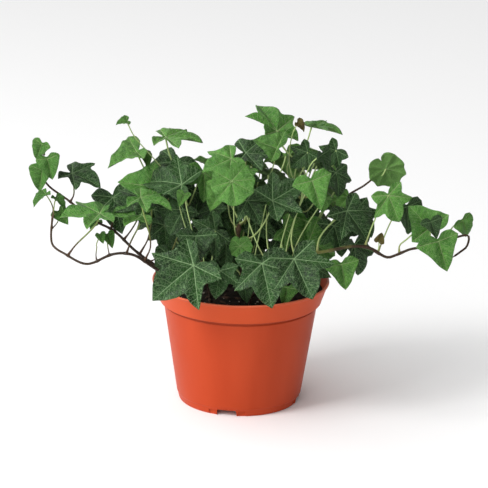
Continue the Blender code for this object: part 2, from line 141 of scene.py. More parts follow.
sky = bpy.data.worlds.new("studio_sky")
sky.use_nodes = True
sky_tree = sky.node_tree
direction = sky_tree.nodes.new("ShaderNodeTexCoord")
parts = sky_tree.nodes.new("ShaderNodeSeparateXYZ")
left_to_right = sky_tree.nodes.new("ShaderNodeMapRange")
left_to_right.interpolation_type = "SMOOTHSTEP"
for label, value in SKY_FADE.items():
    left_to_right.inputs[label].default_value = value
sky_tree.links.new(direction.outputs["Generated"], parts.inputs["Vector"])
sky_tree.links.new(parts.outputs["X"], left_to_right.inputs["Value"])
sky_tree.links.new(left_to_right.outputs["Result"], sky_tree.nodes["Background"].inputs["Strength"])
sky_tree.nodes["Background"].inputs["Color"].default_value = (1, 1, 1, 1)
bpy.context.scene.world = sky
bpy.context.scene.view_settings.view_transform = "Standard"
soft_light("key_light", (-2.0, -1.2, 1.9), size=1.1, watts=56)
soft_light("front_light", (-0.5, -2.4, 1.2), size=1.6, watts=12)
print("studio lit from the upper left")

# %% Camera
CAMERA_DISTANCE = 1.8
CAMERA_HEIGHT_ANGLE = math.radians(16.6)
CAMERA_ROLL = 0.0192
LENS = 155.4

bpy.ops.object.camera_add()
camera = bpy.context.object
away = Vector((0, -math.cos(CAMERA_HEIGHT_ANGLE), math.sin(CAMERA_HEIGHT_ANGLE)))
look = (-away).to_track_quat("-Z", "Y").to_matrix().to_4x4()
camera.matrix_world = (
    Matrix.Translation(AIM + away * CAMERA_DISTANCE) @ look @ Matrix.Rotation(CAMERA_ROLL, 4, "Z")
)
camera.data.lens = LENS
camera.data.sensor_width = 36
camera.data.clip_end = 50
bpy.context.scene.camera = camera
print("camera", CAMERA_DISTANCE, "m away with a", LENS, "mm lens")

# %% [markdown]
# ## Tools for finishes
#
# Every finish here is a few procedural nodes that feed one Principled shader. Written out in full
# that is a lot of lines, so short helpers add a node and wire it in one go. A pattern that several
# finishes share becomes a node group with named inputs and outputs.

# %% Node helpers
def add(tree, kind, inputs=None, **settings):
    """Adds a shader node. Each input is given a value, or another node's output to link to."""
    made = tree.nodes.new("ShaderNode" + kind)
    for name, value in settings.items():
        setattr(made, name, value)
    for key, value in (inputs or {}).items():
        if isinstance(value, bpy.types.NodeSocket):
            tree.links.new(value, made.inputs[key])
        else:
            made.inputs[key].default_value = value
    return made


def calc(tree, operation, *values, use_clamp=False):
    """A sum of values, or of other nodes' outputs."""
    inputs = dict(enumerate(values))
    return add(tree, "Math", inputs, operation=operation, use_clamp=use_clamp).outputs[0]


def times(tree, first, second):
    return calc(tree, "MULTIPLY", first, second)


def ramp(tree, value, low, high, start=0.0, end=1.0):
    """Goes smoothly from start to end while the value goes from low to high."""
    inputs = {"Value": value, "From Min": low, "From Max": high, "To Min": start, "To Max": end}
    return add(tree, "MapRange", inputs, interpolation_type="SMOOTHSTEP").outputs["Result"]


def blend(tree, share, first, second, how="MIX"):
    """Mixes two colours."""
    made = add(tree, "Mix", {0: share, 6: first, 7: second}, data_type="RGBA", blend_type=how)
    return made.outputs[2]


def colour(red, green, blue):
    return (red, green, blue, 1)


def new_group(name, inputs, outputs):
    """An empty node group, with its inputs' sockets and a function that fills its outputs."""
    tree = bpy.data.node_groups.new(name, "ShaderNodeTree")
    for label, kind in inputs.items():
        tree.interface.new_socket(label, in_out="INPUT", socket_type="NodeSocket" + kind)
    for label, kind in outputs.items():
        tree.interface.new_socket(label, in_out="OUTPUT", socket_type="NodeSocket" + kind)
    given = tree.nodes.new("NodeGroupInput").outputs
    result = tree.nodes.new("NodeGroupOutput").inputs

    def give(label, socket):
        tree.links.new(socket, result[label])

    return tree, given, give


def use_group(tree, name, inputs):
    """The outputs of a node group that is given these inputs."""
    return add(tree, "Group", inputs, node_tree=bpy.data.node_groups[name]).outputs


def new_finish(name, roughness):
    """A material with its tree and its shader. Roughness is the shader's own value."""
    made = bpy.data.materials.new(name)
    made.use_nodes = True
    shader = made.node_tree.nodes["Principled BSDF"]
    shader.inputs["Roughness"].default_value = roughness
    return made, made.node_tree, shader


def dress(tree, shader, base, specular):
    """Gives the shader its colour and the strength of its gloss."""
    tree.links.new(base, shader.inputs["Base Color"])
    shader.inputs["Specular IOR Level"].default_value = specular


def bump(tree, shader, height, depth, strength=1.0, invert=False):
    """Raises the surface by at most this depth where the height is one."""
    inputs = {"Height": height, "Distance": depth, "Strength": strength}
    made = add(tree, "Bump", inputs, invert=invert)
    tree.links.new(made.outputs["Normal"], shader.inputs["Normal"])


def place_on_object(tree):
    """The place in the piece's own coordinates, in metres."""
    return add(tree, "TexCoord").outputs["Object"]


def noise_at(tree, place, scale, detail=2.0, roughness=0.5):
    inputs = {"Vector": place, "Scale": scale, "Detail": detail, "Roughness": roughness}
    return add(tree, "TexNoise", inputs).outputs[0]


print("node helpers ready")

# %% [markdown]
# ## The veins of an ivy leaf
#
# An ivy leaf has one strong pale rib from its stalk to the tip of each lobe, side veins that leave
# the ribs at a slant like the bones of a herring, and a fine net between them. The ribs could be
# modelled, but they are thinner than half a millimetre, so they are drawn by the shader. Each lobe's
# part of the leaf carries a map whose first number runs along its rib and whose second runs across
# it, so the same few sums draw the rib and the side veins in every lobe.

# %% Group: leaf veins
RIB_TAPER = 1.25
SIDE_SLANT = 0.85
SIDE_WANDER = 0.09
SIDE_WIDTH = 0.55
SIDE_STRENGTH = 0.75
NET_SCALE = 19.0
NET_STRENGTH = 0.38
CRINKLE_DEPTH = 1.7


def make_vein_group():
    tree, given, give = new_group(
        "leaf veins",
        {"Place": "Vector", "Rib width": "Float", "Side vein spacing": "Float"},
        {"Veins": "Float", "Glow": "Float", "Relief": "Float"},
    )
    place = add(tree, "SeparateXYZ", {"Vector": given["Place"]})
    along, across = place.outputs["X"], place.outputs["Y"]
    off = calc(tree, "ABSOLUTE", across)
    width = times(tree, given["Rib width"], calc(tree, "SUBTRACT", RIB_TAPER, along))
    rib = ramp(tree, off, times(tree, width, 0.35), width, 1, 0)
    wander = times(tree, noise_at(tree, given["Place"], 9), SIDE_WANDER)
    slanted = calc(tree, "SUBTRACT", along, times(tree, off, SIDE_SLANT))
    slanted = calc(tree, "ADD", slanted, wander)
    other_side = times(tree, calc(tree, "GREATER_THAN", across, 0), 0.5)
    turns = calc(tree, "ADD", calc(tree, "DIVIDE", slanted, given["Side vein spacing"]), other_side)
    to_vein = times(tree, calc(tree, "PINGPONG", turns, 0.5), given["Side vein spacing"])
    side_width = times(tree, given["Rib width"], SIDE_WIDTH)
    side = ramp(tree, to_vein, times(tree, side_width, 0.2), side_width, 1, 0)
    side = times(tree, side, ramp(tree, off, 0.0, 0.34, 1, 0.25))
    cells = {"Vector": given["Place"], "Scale": NET_SCALE, "Randomness": 0.9}
    net = add(tree, "TexVoronoi", cells, feature="DISTANCE_TO_EDGE").outputs["Distance"]
    net = ramp(tree, net, 0.01, 0.09, 1, 0)
    drawn = calc(tree, "MAXIMUM", rib, times(tree, side, SIDE_STRENGTH))
    give("Veins", calc(tree, "MAXIMUM", drawn, times(tree, net, NET_STRENGTH)))
    near_rib = ramp(tree, off, 0.0, 0.11, 1, 0)
    near_side = times(tree, ramp(tree, to_vein, 0.0, 0.035, 1, 0), 0.55)
    give("Glow", calc(tree, "MAXIMUM", near_rib, near_side))
    sunk = calc(tree, "ADD", rib, times(tree, side, 0.7))
    sunk = calc(tree, "ADD", sunk, times(tree, net, 0.22))
    crinkle = times(tree, noise_at(tree, given["Place"], 6, 3, 0.6), CRINKLE_DEPTH)
    give("Relief", calc(tree, "SUBTRACT", crinkle, sunk))


make_vein_group()
print("built the group", bpy.data.node_groups["leaf veins"].name)

# %% [markdown]
# Leaves are never one green. Older patches are deeper, a few spots are yellower, and the whole tone
# drifts from leaf to leaf. A second group gives two such masks from the place on the plant: a slow
# one that changes from leaf to leaf, and a quick one for mottling inside a leaf.

# %% Group: mottle
def make_mottle_group():
    tree, given, give = new_group("mottle", {"Place": "Vector"}, {"Drift": "Float", "Speckle": "Float"})
    give("Drift", ramp(tree, noise_at(tree, given["Place"], 30, 3), 0.34, 0.66))
    give("Speckle", ramp(tree, noise_at(tree, given["Place"], 260, 4, 0.62), 0.36, 0.64))


make_mottle_group()
print("built the group", bpy.data.node_groups["mottle"].name)

# %% [markdown]
# Four greens come from one recipe: dark old leaves with clear pale veins, mid green, the fresh light
# green of the shoots, and the reddish brown of a leaf that has just opened. The underside of each is
# paler and duller, with its veins standing proud, so every leaf carries a second finish for it.

# %% Leaf finishes
# Each recipe is the deep green, the fresh green beside the veins, the veins' green and the roughness.
LEAF_GREENS = {
    "leaf_dark": ((0.002, 0.010, 0.002), (0.020, 0.076, 0.012), (0.28, 0.44, 0.21), 0.34),
    "leaf_mid": ((0.018, 0.090, 0.008), (0.105, 0.290, 0.040), (0.36, 0.54, 0.22), 0.37),
    "leaf_light": ((0.024, 0.128, 0.011), (0.100, 0.290, 0.042), (0.40, 0.58, 0.24), 0.40),
    "leaf_tip": ((0.10, 0.055, 0.015), (0.17, 0.16, 0.03), (0.30, 0.28, 0.12), 0.45),
}
UNDERSIDE_PALENESS = 0.35
UNDERSIDE_GREEN = colour(0.22, 0.36, 0.12)
UNDERSIDE_DULLNESS = 0.2
RIB_WIDTH = 0.019
SIDE_VEIN_SPACING = 0.135
VEIN_DEPTH = 0.0013


def leaf_finish(name, deep, fresh, vein, gloss, underside=False):
    made, tree, shader = new_finish(name, gloss)
    place = place_on_object(tree)
    mottle = use_group(tree, "mottle", {"Place": place})
    on_leaf = add(tree, "UVMap", uv_map="lobes").outputs["UV"]
    settings = {"Place": on_leaf, "Rib width": RIB_WIDTH, "Side vein spacing": SIDE_VEIN_SPACING}
    veins = use_group(tree, "leaf veins", settings)
    tone = calc(tree, "MULTIPLY_ADD", mottle["Speckle"], 0.5, times(tree, mottle["Drift"], 0.35))
    tone = calc(tree, "ADD", tone, times(tree, veins["Glow"], 0.45), use_clamp=True)
    green = blend(tree, tone, colour(*deep), colour(*fresh))
    strength = 0.45 if underside else 0.85
    green = blend(tree, times(tree, veins["Veins"], strength), green, colour(*vein))
    if underside:
        green = blend(tree, UNDERSIDE_PALENESS, green, UNDERSIDE_GREEN)
    dull = times(tree, mottle["Speckle"], 0.12)
    roughness = gloss + (UNDERSIDE_DULLNESS if underside else 0.0)
    tree.links.new(calc(tree, "ADD", roughness, dull), shader.inputs["Roughness"])
    dress(tree, shader, green, 0.22)
    bump(tree, shader, veins["Relief"], VEIN_DEPTH, invert=underside)
    return made


leaf_finishes = {}
for slot, recipe in LEAF_GREENS.items():
    upper = leaf_finish(slot, *recipe)
    leaf_finishes[slot] = (upper, leaf_finish(slot + "_underside", *recipe, underside=True))
print(len(leaf_finishes), "greens, each with its underside")

# %% [markdown]
# Stalks and stems share another recipe. Their map runs from foot to top, so one colour at the foot
# can change into another on the way up, as on a real shoot: woody and purple brown where it is old,
# pale green where it is young. A little noise breaks the change up and gives the bark its lenticels.

# %% Stalk and stem finishes
def shoot_finish(name, foot, top, change, roughness, bark):
    """Takes the colours at the foot and the top, the shares of the length between which they change,
    and how much bark there is, from 0 to 1."""
    made, tree, shader = new_finish(name, roughness)
    along = add(tree, "SeparateXYZ", {"Vector": add(tree, "UVMap", uv_map="lobes").outputs["UV"]})
    place = place_on_object(tree)
    waver = times(tree, calc(tree, "SUBTRACT", noise_at(tree, place, 90, 3), 0.5), 0.5)
    share = ramp(tree, calc(tree, "ADD", along.outputs["X"], waver), *change)
    mixed = blend(tree, share, colour(*foot), colour(*top))
    spots = ramp(tree, noise_at(tree, place, 900, 2), 0.58, 0.72)
    paler = colour(*(0.4 * part + 0.16 for part in foot))
    mixed = blend(tree, times(tree, spots, 0.45 * bark), mixed, paler)
    dress(tree, shader, mixed, 0.2)
    bump(tree, shader, noise_at(tree, place, 1400, 3, 0.6), 0.0004, 0.25 + 0.6 * bark)
    return made


stalk_fresh = shoot_finish("stalk_fresh", (0.24, 0.24, 0.08), (0.38, 0.50, 0.19), (-0.1, 0.35), 0.42, 0.1)
stalk_ruddy = shoot_finish("stalk_ruddy", (0.07, 0.036, 0.02), (0.24, 0.31, 0.09), (0.10, 0.75), 0.42, 0.2)
stem_bark = shoot_finish("stem_bark", (0.028, 0.016, 0.010), (0.060, 0.034, 0.016), (0.3, 1.1), 0.55, 1.0)
stem_green = shoot_finish(
    "stem_bark_green_foot", (0.22, 0.24, 0.06), (0.040, 0.022, 0.012), (0.2, 0.5), 0.5, 0.5
)
print("stalk and stem finishes ready")

# %% [markdown]
# ## A leaf's blade, modelled once for each form
#
# The plant has four forms of leaf: five-lobed, three-lobed, round, and the young unopened one. Each
# is modelled once, flat and one unit long, and every leaf is then a copy that is bent and placed.
#
# A blade could be a filled outline, but its faces would then be long slivers that don't bend well. We
# start from a small disc instead, extrude its edge outwards ring by ring, and let each ring follow the
# outline at its own share of the way. The spokes then run from the stalk to every lobe's tip, just as
# the ribs do, so a rib can be pressed in as a valley along its spoke.

# %% Outlines
# Half of each outline in leaf lengths, from the notch at the stalk round to the tip at (0, 1). A tip
# is sharp and a bulge is round, and a rib runs to both.
OUTLINES = {
    "lobed": (
        (0, -0.06), (0.10, -0.20), (0.31, -0.31), (0.56, -0.23, "tip"), (0.52, -0.05), (0.46, 0.09),
        (0.57, 0.25), (0.73, 0.46, "tip"), (0.54, 0.50), (0.35, 0.48), (0.31, 0.63), (0.19, 0.83),
        (0, 1.0, "tip"),
    ),
    "three": (
        (0, -0.08), (0.18, -0.24), (0.46, -0.25), (0.70, -0.04, "tip"), (0.55, 0.17), (0.38, 0.42),
        (0.23, 0.72), (0, 1.0, "tip"),
    ),
    "round": (
        (0, -0.45), (0.08, -0.66), (0.38, -0.73), (0.66, -0.56, "bulge"), (0.78, -0.24),
        (0.91, 0.08, "bulge"), (0.80, 0.36), (0.75, 0.63, "bulge"), (0.46, 0.77), (0.26, 0.95),
        (0, 1.0, "bulge"),
    ),
    "young": (
        (0, -0.10), (0.26, -0.26), (0.56, -0.10, "bulge"), (0.50, 0.20), (0.40, 0.44), (0.22, 0.76),
        (0, 1.0, "tip"),
    ),
}
FOLD = {"lobed": 0.17, "three": 0.26, "round": 0.05, "young": 0.40}
DROOP = {"lobed": 0.20, "three": 0.20, "round": 0.10, "young": 0.30}
STEPS_PER_PIECE = {"lobed": 3, "three": 4, "round": 3, "young": 4}
RING_SHARES = (0.07, 0.17, 0.30, 0.44, 0.58, 0.72, 0.85, 0.95, 1.0)
RIB_VALLEY = 0.020
VALLEY_HALF_WIDTH = 0.09
LOBE_FOLD = 0.42
LOBE_FOLD_WIDTH = 0.22
MARGIN_RIPPLE = 0.021
BLADE_THICKNESS = 0.014
TINY = 0.001


def through(before, start, end, after, t):
    """A point on the smooth curve that passes through start and end."""
    bend = 2 * before - 5 * start + 4 * end - after
    twist = 3 * start - before - 3 * end + after
    return start + 0.5 * ((end - before) * t + bend * t**2 + twist * t**3)


def smooth_line(points, steps):
    """Points on a smooth curve through the given ones, without the last."""
    ends = [2 * points[0] - points[1], *points, 2 * points[-1] - points[-2]]
    line = []
    for four in zip(ends, ends[1:], ends[2:], ends[3:]):
        line += [through(*four, step / steps) for step in range(steps)]
    return line


def whole_outline(form):
    """The outline anticlockwise from the tip, and the places in it that a rib runs to."""
    half = [(Vector((row[0], row[1], 0)), len(row) > 2, row[2:] == ("tip",)) for row in OUTLINES[form]]
    half.reverse()
    left = [(Vector((-point.x, point.y, 0)), ribbed, sharp) for point, ribbed, sharp in half]
    right = [(point, ribbed, sharp) for point, ribbed, sharp in reversed(half)]
    loop = [*left, *right[1:]]
    outline, stretch = [], [loop[0][0]]
    steps = STEPS_PER_PIECE[form]
    for index, (point, _, sharp) in enumerate(loop[1:], 1):
        stretch.append(point)
        if sharp or index == len(loop) - 1:
            outline += smooth_line(stretch, steps)
            stretch = [point]
    return outline, [index * steps for index, (_, ribbed, _) in enumerate(loop[:-1]) if ribbed]


print({form: len(whole_outline(form)[0]) for form in OUTLINES}, "spokes")

# %% [markdown]
# The disc's edge is extruded and widened once for each ring. `extrude_edges_move` leaves the new edge
# selected, so the `resize` that follows widens only that. Then every vertex is moved along its spoke
# to the outline, and raised or lowered: the two halves fold up a little, the lobes droop, the ribs sit
# in shallow valleys and the margin ripples. Solidify gives the sheet its thickness and puts the second
# finish on its underside.

# %% Model the four blades
def start_edit(thing, select="EDGE"):
    only(thing)
    bpy.ops.object.mode_set(mode="EDIT")
    bpy.ops.mesh.select_mode(type=select)
    bpy.ops.mesh.select_all(action="DESELECT")


def end_edit():
    """Leaves edit mode with all faces turned outwards."""
    bpy.ops.mesh.select_all(action="SELECT")
    bpy.ops.mesh.normals_make_consistent(inside=False)
    bpy.ops.object.mode_set(mode="OBJECT")


def extrude_border(line):
    """Extrudes the border ring of the mesh through a profile's points, each a radius and a height."""
    bpy.ops.mesh.select_non_manifold()
    for (radius, height), (next_radius, next_height) in zip(line, line[1:]):
        lift = {"value": (0, 0, next_height - height)}
        bpy.ops.mesh.extrude_edges_move(TRANSFORM_OT_translate=lift)
        grow = next_radius / radius
        bpy.ops.transform.resize(value=(grow, grow, 1), center_override=(0, 0, next_height))


def ringed_disc(name, sides, radii):
    """A flat disc round the origin whose edges run in rings at these radii, facing up."""
    bpy.ops.object.select_all(action="DESELECT")
    bpy.ops.mesh.primitive_circle_add(vertices=sides, radius=radii[0], fill_type="TRIFAN")
    made = bpy.context.object
    made.name = name
    start_edit(made)
    extrude_border([(radius, 0) for radius in radii])
    end_edit()
    if made.data.polygons[0].normal.z < 0:
        made.data.flip_normals()
    return made


def apply_modifiers(thing):
    only(thing)
    for modifier in list(thing.modifiers):
        bpy.ops.object.modifier_apply(modifier=modifier.name)


def lobes_map(mesh):
    """The mesh's only map, under the name that the finishes read."""
    layer = mesh.uv_layers[0] if mesh.uv_layers else mesh.uv_layers.new()
    layer.name = "lobes"
    return layer


def spoke_of(point, count):
    """Which spoke a point of the disc is on, counted anticlockwise from +Y."""
    turn = math.atan2(point.y, point.x) - math.pi / 2
    return round(turn / math.tau * count) % count


def rib_of_spokes(outline, ribs):
    """The rib that each gap between two spokes belongs to. Lobes part where the outline is nearest."""
    count = len(outline)
    owner = [None] * count
    for rib, following in zip(ribs, [*ribs[1:], ribs[0] + count]):
        reach = [(outline[index % count].length, index) for index in range(rib + 1, following)]
        parting = min(reach)[1] if reach else following
        for index in range(rib, following):
            owner[index % count] = rib if index < parting else following % count
    return owner


def model_blade(form):
    outline, ribs = whole_outline(form)
    count = len(outline)
    blade = ringed_disc(f"{form}_blade_form", count, RING_SHARES)
    mesh = blade.data
    owner = rib_of_spokes(outline, ribs)
    rib_ways = {rib: outline[rib].normalized() for rib in ribs}
    flat = []
    for vertex in mesh.vertices:
        share = vertex.co.length
        spoke = spoke_of(vertex.co, count) if share > TINY else 0
        flat.append(outline[spoke] * share)
        off = min(
            (way.cross(flat[-1]).length for way in rib_ways.values() if way.dot(flat[-1]) >= 0),
            default=0,
        )
        height = FOLD[form] * abs(flat[-1].x) - DROOP[form] * flat[-1].length_squared
        height += RIB_VALLEY * (min(1, off / VALLEY_HALF_WIDTH) - 1) * min(1, share * 4)
        height += LOBE_FOLD * min(off, LOBE_FOLD_WIDTH)
        turn = spoke / count * math.tau
        height += MARGIN_RIPPLE * share**3 * (math.sin(9 * turn) + 0.7 * math.sin(14 * turn + 1))
        vertex.co = flat[-1] + Vector((0, 0, height))
    layer = lobes_map(mesh)
    for face in mesh.polygons:
        spokes = [index for index in face.vertices if flat[index].length > TINY]
        gap = gap_between([spoke_number(flat[index], outline) for index in spokes])
        way = rib_ways[owner[gap]]
        for loop in face.loop_indices:
            point = flat[mesh.loops[loop].vertex_index]
            layer.data[loop].uv = (point.dot(way), way.cross(point).z)
    thicken = blade.modifiers.new("Thickness", "SOLIDIFY")
    thicken.thickness = BLADE_THICKNESS
    thicken.offset = -1
    thicken.material_offset = 1
    for finish in leaf_finishes["leaf_mid"]:
        mesh.materials.append(finish)
    apply_modifiers(blade)
    bpy.ops.object.shade_smooth()
    return blade


def spoke_number(point, outline):
    """The spoke whose direction is nearest to the point's."""
    way = point.normalized()
    return max(range(len(outline)), key=lambda index: way.dot(outline[index].normalized()))


def gap_between(numbers):
    """The gap between two neighbouring spokes is numbered as the lower of them."""
    low, high = min(numbers), max(numbers)
    return high if high - low > 1 else low


blade_forms = {form: model_blade(form) for form in OUTLINES}
print({form: len(blade.data.polygons) for form, blade in blade_forms.items()}, "faces")

# %% [markdown]
# ## Stalks and stems
#
# A stalk is a thin tube that swells at its foot, where it holds the stem, and again under the blade.
# A bevelled curve would make a tube, but without a map from foot to top for its finish. So one
# straight tube is extruded ring by ring, with its map, and each stalk or stem is a copy of it whose
# rings are carried onto a route.

# %% Model a straight tube
def straight_tube(name, sides, rings):
    """A closed tube from z = 0 to 1 with radius 1, and its map: x along it, y round it."""
    bpy.ops.object.select_all(action="DESELECT")
    bpy.ops.mesh.primitive_circle_add(vertices=sides, radius=1, fill_type="NGON")
    made = bpy.context.object
    made.name = name
    start_edit(made, "FACE")
    bpy.ops.mesh.select_all(action="SELECT")
    for _ in range(rings):
        bpy.ops.mesh.extrude_region_move(TRANSFORM_OT_translate={"value": (0, 0, 1 / rings)})
    end_edit()
    mesh = made.data
    layer = lobes_map(mesh)
    for face in mesh.polygons:
        turns = [spoke_of(mesh.vertices[index].co, sides) / sides for index in face.vertices]
        seam = max(turns) - min(turns) > 0.5
        for loop, turn in zip(face.loop_indices, turns):
            height = mesh.vertices[mesh.loops[loop].vertex_index].co.z
            layer.data[loop].uv = (height, turn + 1 if seam and turn < 0.5 else turn)
    only(made)
    bpy.ops.object.shade_smooth()
    return made


stalk_form = straight_tube("stalk_form", sides=8, rings=14)
stem_form = straight_tube("stem_form", sides=12, rings=90)
print("tubes:", len(stalk_form.data.polygons), "and", len(stem_form.data.polygons), "faces")

# %% Carry a tube onto a route
class Route:
    """A smooth route through points, which gives the place and two ways across it at any share."""

    def __init__(self, points, steps=6):
        self.points = [*smooth_line(points, steps), points[-1]]
        self.reach = [0.0]
        for start, end in zip(self.points, self.points[1:]):
            self.reach.append(self.reach[-1] + (end - start).length)
        ways = [(end - start).normalized() for start, end in zip(self.points, self.points[1:])]
        ways.append(ways[-1])
        side = ways[0].orthogonal().normalized()
        self.sides = []
        for way in ways:
            side = (side - way * side.dot(way)).normalized()
            self.sides.append((side, way.cross(side), way))

    @property
    def length(self):
        return self.reach[-1]

    def at(self, share):
        """The place at this share of the way, with two directions across the route and its own."""
        goal = min(max(share, 0), 1) * self.length
        passed = sum(1 for reach in self.reach if reach <= goal)
        index = max(0, min(len(self.points) - 2, passed - 1))
        span = self.reach[index + 1] - self.reach[index]
        t = (goal - self.reach[index]) / span if span else 0
        place = self.points[index].lerp(self.points[index + 1], t)
        pairs = zip(self.sides[index], self.sides[index + 1])
        return place, [before.lerp(after, t).normalized() for before, after in pairs]

    def nearest_share(self, point):
        best = min(range(len(self.points)), key=lambda index: (self.points[index] - point).length)
        return self.reach[best] / self.length


def tube_on(route, form, radius_at, name):
    """A copy of the straight tube on the route. Its radius follows the share of the way."""
    mesh = form.data.copy()
    mesh.name = name
    cache = {}
    for vertex in mesh.vertices:
        share = round(vertex.co.z, 5)
        if share not in cache:
            cache[share] = (*route.at(share), radius_at(share))
        place, (side, other, _), radius = cache[share]
        vertex.co = place + (side * vertex.co.x + other * vertex.co.y) * radius
    return put_in_scene(name, mesh)


print("route helper ready")

# %% [markdown]
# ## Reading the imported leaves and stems
#
# Each packed leaf is a coarse blade grown together with its stalk. Its hub, where all ribs meet, is
# the vertex with the most edges. Round it lie the inner ring and the outline, and from those come the
# leaf's length and the directions of its tip and its upper face. The vertices that are on no blade
# are the stalk's rings, and their middles give the stalk's route. Stems are read in the same way.

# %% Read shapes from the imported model
INNER_RING_SHARE = 0.55
SHEET_REACH = 1.25 * MM
SAME_PLACE = 0.005 * MM
# A stalk ends this far under its blade's upper face, in millimetres.
JOINT_DEPTH = 0.3


def merged_copy(node):
    """The node's shape with its loose triangles joined, as a bmesh."""
    shape = bmesh.new()
    shape.from_mesh(frame["nodes"][node].data)
    bmesh.ops.remove_doubles(shape, verts=shape.verts, dist=SAME_PLACE)
    return shape


def neighbours(vertex):
    return [edge.other_vert(vertex) for edge in vertex.link_edges]


def tube_rings(first, taken):
    """Walks along a tube from its first ring, and returns each ring's middle and radius."""
    rings = []
    ring = set(first)
    while ring:
        middle = sum((vertex.co for vertex in ring), Vector()) / len(ring)
        rings.append((middle, sum((vertex.co - middle).length for vertex in ring) / len(ring)))
        taken |= ring
        ring = {other for vertex in ring for other in neighbours(vertex)} - taken
    return rings


def read_leaf(node):
    """The leaf's form, its place as a matrix (X across it, Y to its tip, Z out of its upper face), its
    length, and its stalk's points from foot to blade."""
    shape = merged_copy(node)
    hub = max(shape.verts, key=lambda vertex: len(vertex.link_edges))
    ring = neighbours(hub)
    outline = {other for vertex in ring for other in neighbours(vertex)} - set(ring) - {hub}
    upper = sum((face.normal for face in hub.link_faces), Vector())
    to_tip = max((vertex.co - hub.co for vertex in ring), key=lambda way: way.length)
    to_notch = min((vertex.co - hub.co for vertex in ring), key=lambda way: way.normalized().dot(to_tip))
    forward = (to_tip / to_tip.length_squared - to_notch / to_notch.length_squared).normalized()
    across = to_tip.cross(upper).normalized()
    up = across.cross(forward)
    place = Matrix((across, forward, up)).transposed().to_4x4()
    place.translation = hub.co
    sheet = [hub.co, *(vertex.co for vertex in ring), *(vertex.co for vertex in outline)]
    stalk = {v for v in shape.verts if min((v.co - spot).length for spot in sheet) > SHEET_REACH}
    rest = set(shape.verts) - stalk
    first = {vertex for vertex in stalk if any(other in rest for other in neighbours(vertex))}
    points = [middle for middle, _ in reversed(tube_rings(first, rest))]
    points.append(hub.co - up * JOINT_DEPTH * MM)
    length = to_tip.dot(forward) / INNER_RING_SHARE
    shape.free()
    return node.split("_")[1], place, length, points


def read_stem(node):
    """The stem's rings from its root to its tip."""
    shape = merged_copy(node)
    bottom = min(vertex.co.z for vertex in shape.verts)
    first = [vertex for vertex in shape.verts if vertex.co.z < bottom + 0.01 * MM]
    rings = tube_rings(first, set())
    shape.free()
    return rings


packed_leaves = {node: read_leaf(node) for node in leaf_nodes}
packed_stems = {node: read_stem(node) for node in stem_nodes}
for node in leaf_nodes[:3]:
    form, place, length, points = packed_leaves[node]
    print(node, "is", round(length / MM, 1), "mm long on a stalk of", len(points), "points")

# %% [markdown]
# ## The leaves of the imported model
#
# Two leaves of one plant are never the same, so each copy is given a little character of its own
# before it is placed: its tip curls, its sides cup, it twists, and one half is a bit broader. The
# amounts are drawn with a fixed seed. The stalk's copy is carried onto the route that was read, with
# its foot drawn on to the stem's skin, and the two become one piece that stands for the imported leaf.

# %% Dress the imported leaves
STALK_BASE_RADIUS = 0.45 * MM
STALK_RADIUS_SHARE = 0.013
STALK_SLIMNESS = 0.92
FOOT_SWELL, FOOT_SHARE = 0.75, 0.07
NECK_SWELL, NECK_SHARE = 0.25, 0.06
BETWEEN_SWELLS = 0.86
FOOT_INTO_STEM = 0.4
CHARACTER_REACH = (0.20, 0.20, 0.30, 0.08)
character = random.Random(7)


def give_character(point, curl, cup, twist, lean):
    """Bends a point of a flat form. Lean makes one half broader than the other."""
    x = point.x * (1 + lean * (1 if point.x > 0 else -1))
    z = point.z - curl * point.y * abs(point.y) - cup * x * x + twist * x * point.y
    return Vector((x, point.y, z))


def add_blade(name, form, place, length, slot):
    mesh = blade_forms[form].data.copy()
    mesh.name = name
    amounts = [character.uniform(-reach, reach) for reach in CHARACTER_REACH]
    for vertex in mesh.vertices:
        vertex.co = place @ (give_character(vertex.co, *amounts) * length)
    for index, finish in enumerate(leaf_finishes[slot]):
        mesh.materials[index] = finish
    return put_in_scene(name, mesh)


def stalk_radius(length):
    """A stalk's radius at each share of its way, for a leaf of this length."""
    slim = STALK_SLIMNESS * (STALK_BASE_RADIUS + STALK_RADIUS_SHARE * length)

    def at(share):
        foot = FOOT_SWELL * math.exp(-((share / FOOT_SHARE) ** 2))
        neck = NECK_SWELL * math.exp(-(((1 - share) / NECK_SHARE) ** 2))
        return slim * (BETWEEN_SWELLS + foot + neck)

    return at


def make_leaf(name, form, place, length, points, slot, stem):
    """A blade and its stalk in one piece. Only the old stems on the left have ruddy stalks."""
    blade = add_blade(name, form, place, length, slot)
    stalk = tube_on(Route(points, 3), stalk_form, stalk_radius(length), f"{name}_stalk")
    stalk.data.materials.append(stalk_ruddy if stem.startswith("runner_left") else stalk_fresh)
    join([blade, stalk])
    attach(blade, "root")
    return blade


def nearest_stem(foot):
    """The stem whose route runs nearest to the foot, and the share of its way there."""

    def gap(name):
        route = stem_routes[name]
        return (route.at(route.nearest_share(foot))[0] - foot).length

    name = min(stem_routes, key=gap)
    return name, stem_routes[name].nearest_share(foot)


stem_routes = {name: Route([middle for middle, _ in rings], 4) for name, rings in packed_stems.items()}
growth_places = {name: [] for name in stem_routes}
fine_leaves = []
for node, (form, place, length, points) in packed_leaves.items():
    stem, share = nearest_stem(points[0])
    growth_places[stem].append(share)
    points = [points[0].lerp(stem_routes[stem].at(share)[0], FOOT_INTO_STEM), *points[1:]]
    leaf = make_leaf("ivy_" + node, form, place, length, points, slot_of[node], stem)
    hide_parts(node)
    fine_leaves.append(leaf)
print("dressed", len(fine_leaves), "leaves")

# %% [markdown]
# ## The small leaves between
#
# A young ivy is dense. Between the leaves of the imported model, and all round the back, there are about
# twice as many small ones. Those that can be told apart are planned one by one. The rest grow by rule:
# a place in the crown and a stem that can reach it are drawn at random, and the leaf is kept when its
# blade and its stalk touch nothing and stay under the outline of the crown.

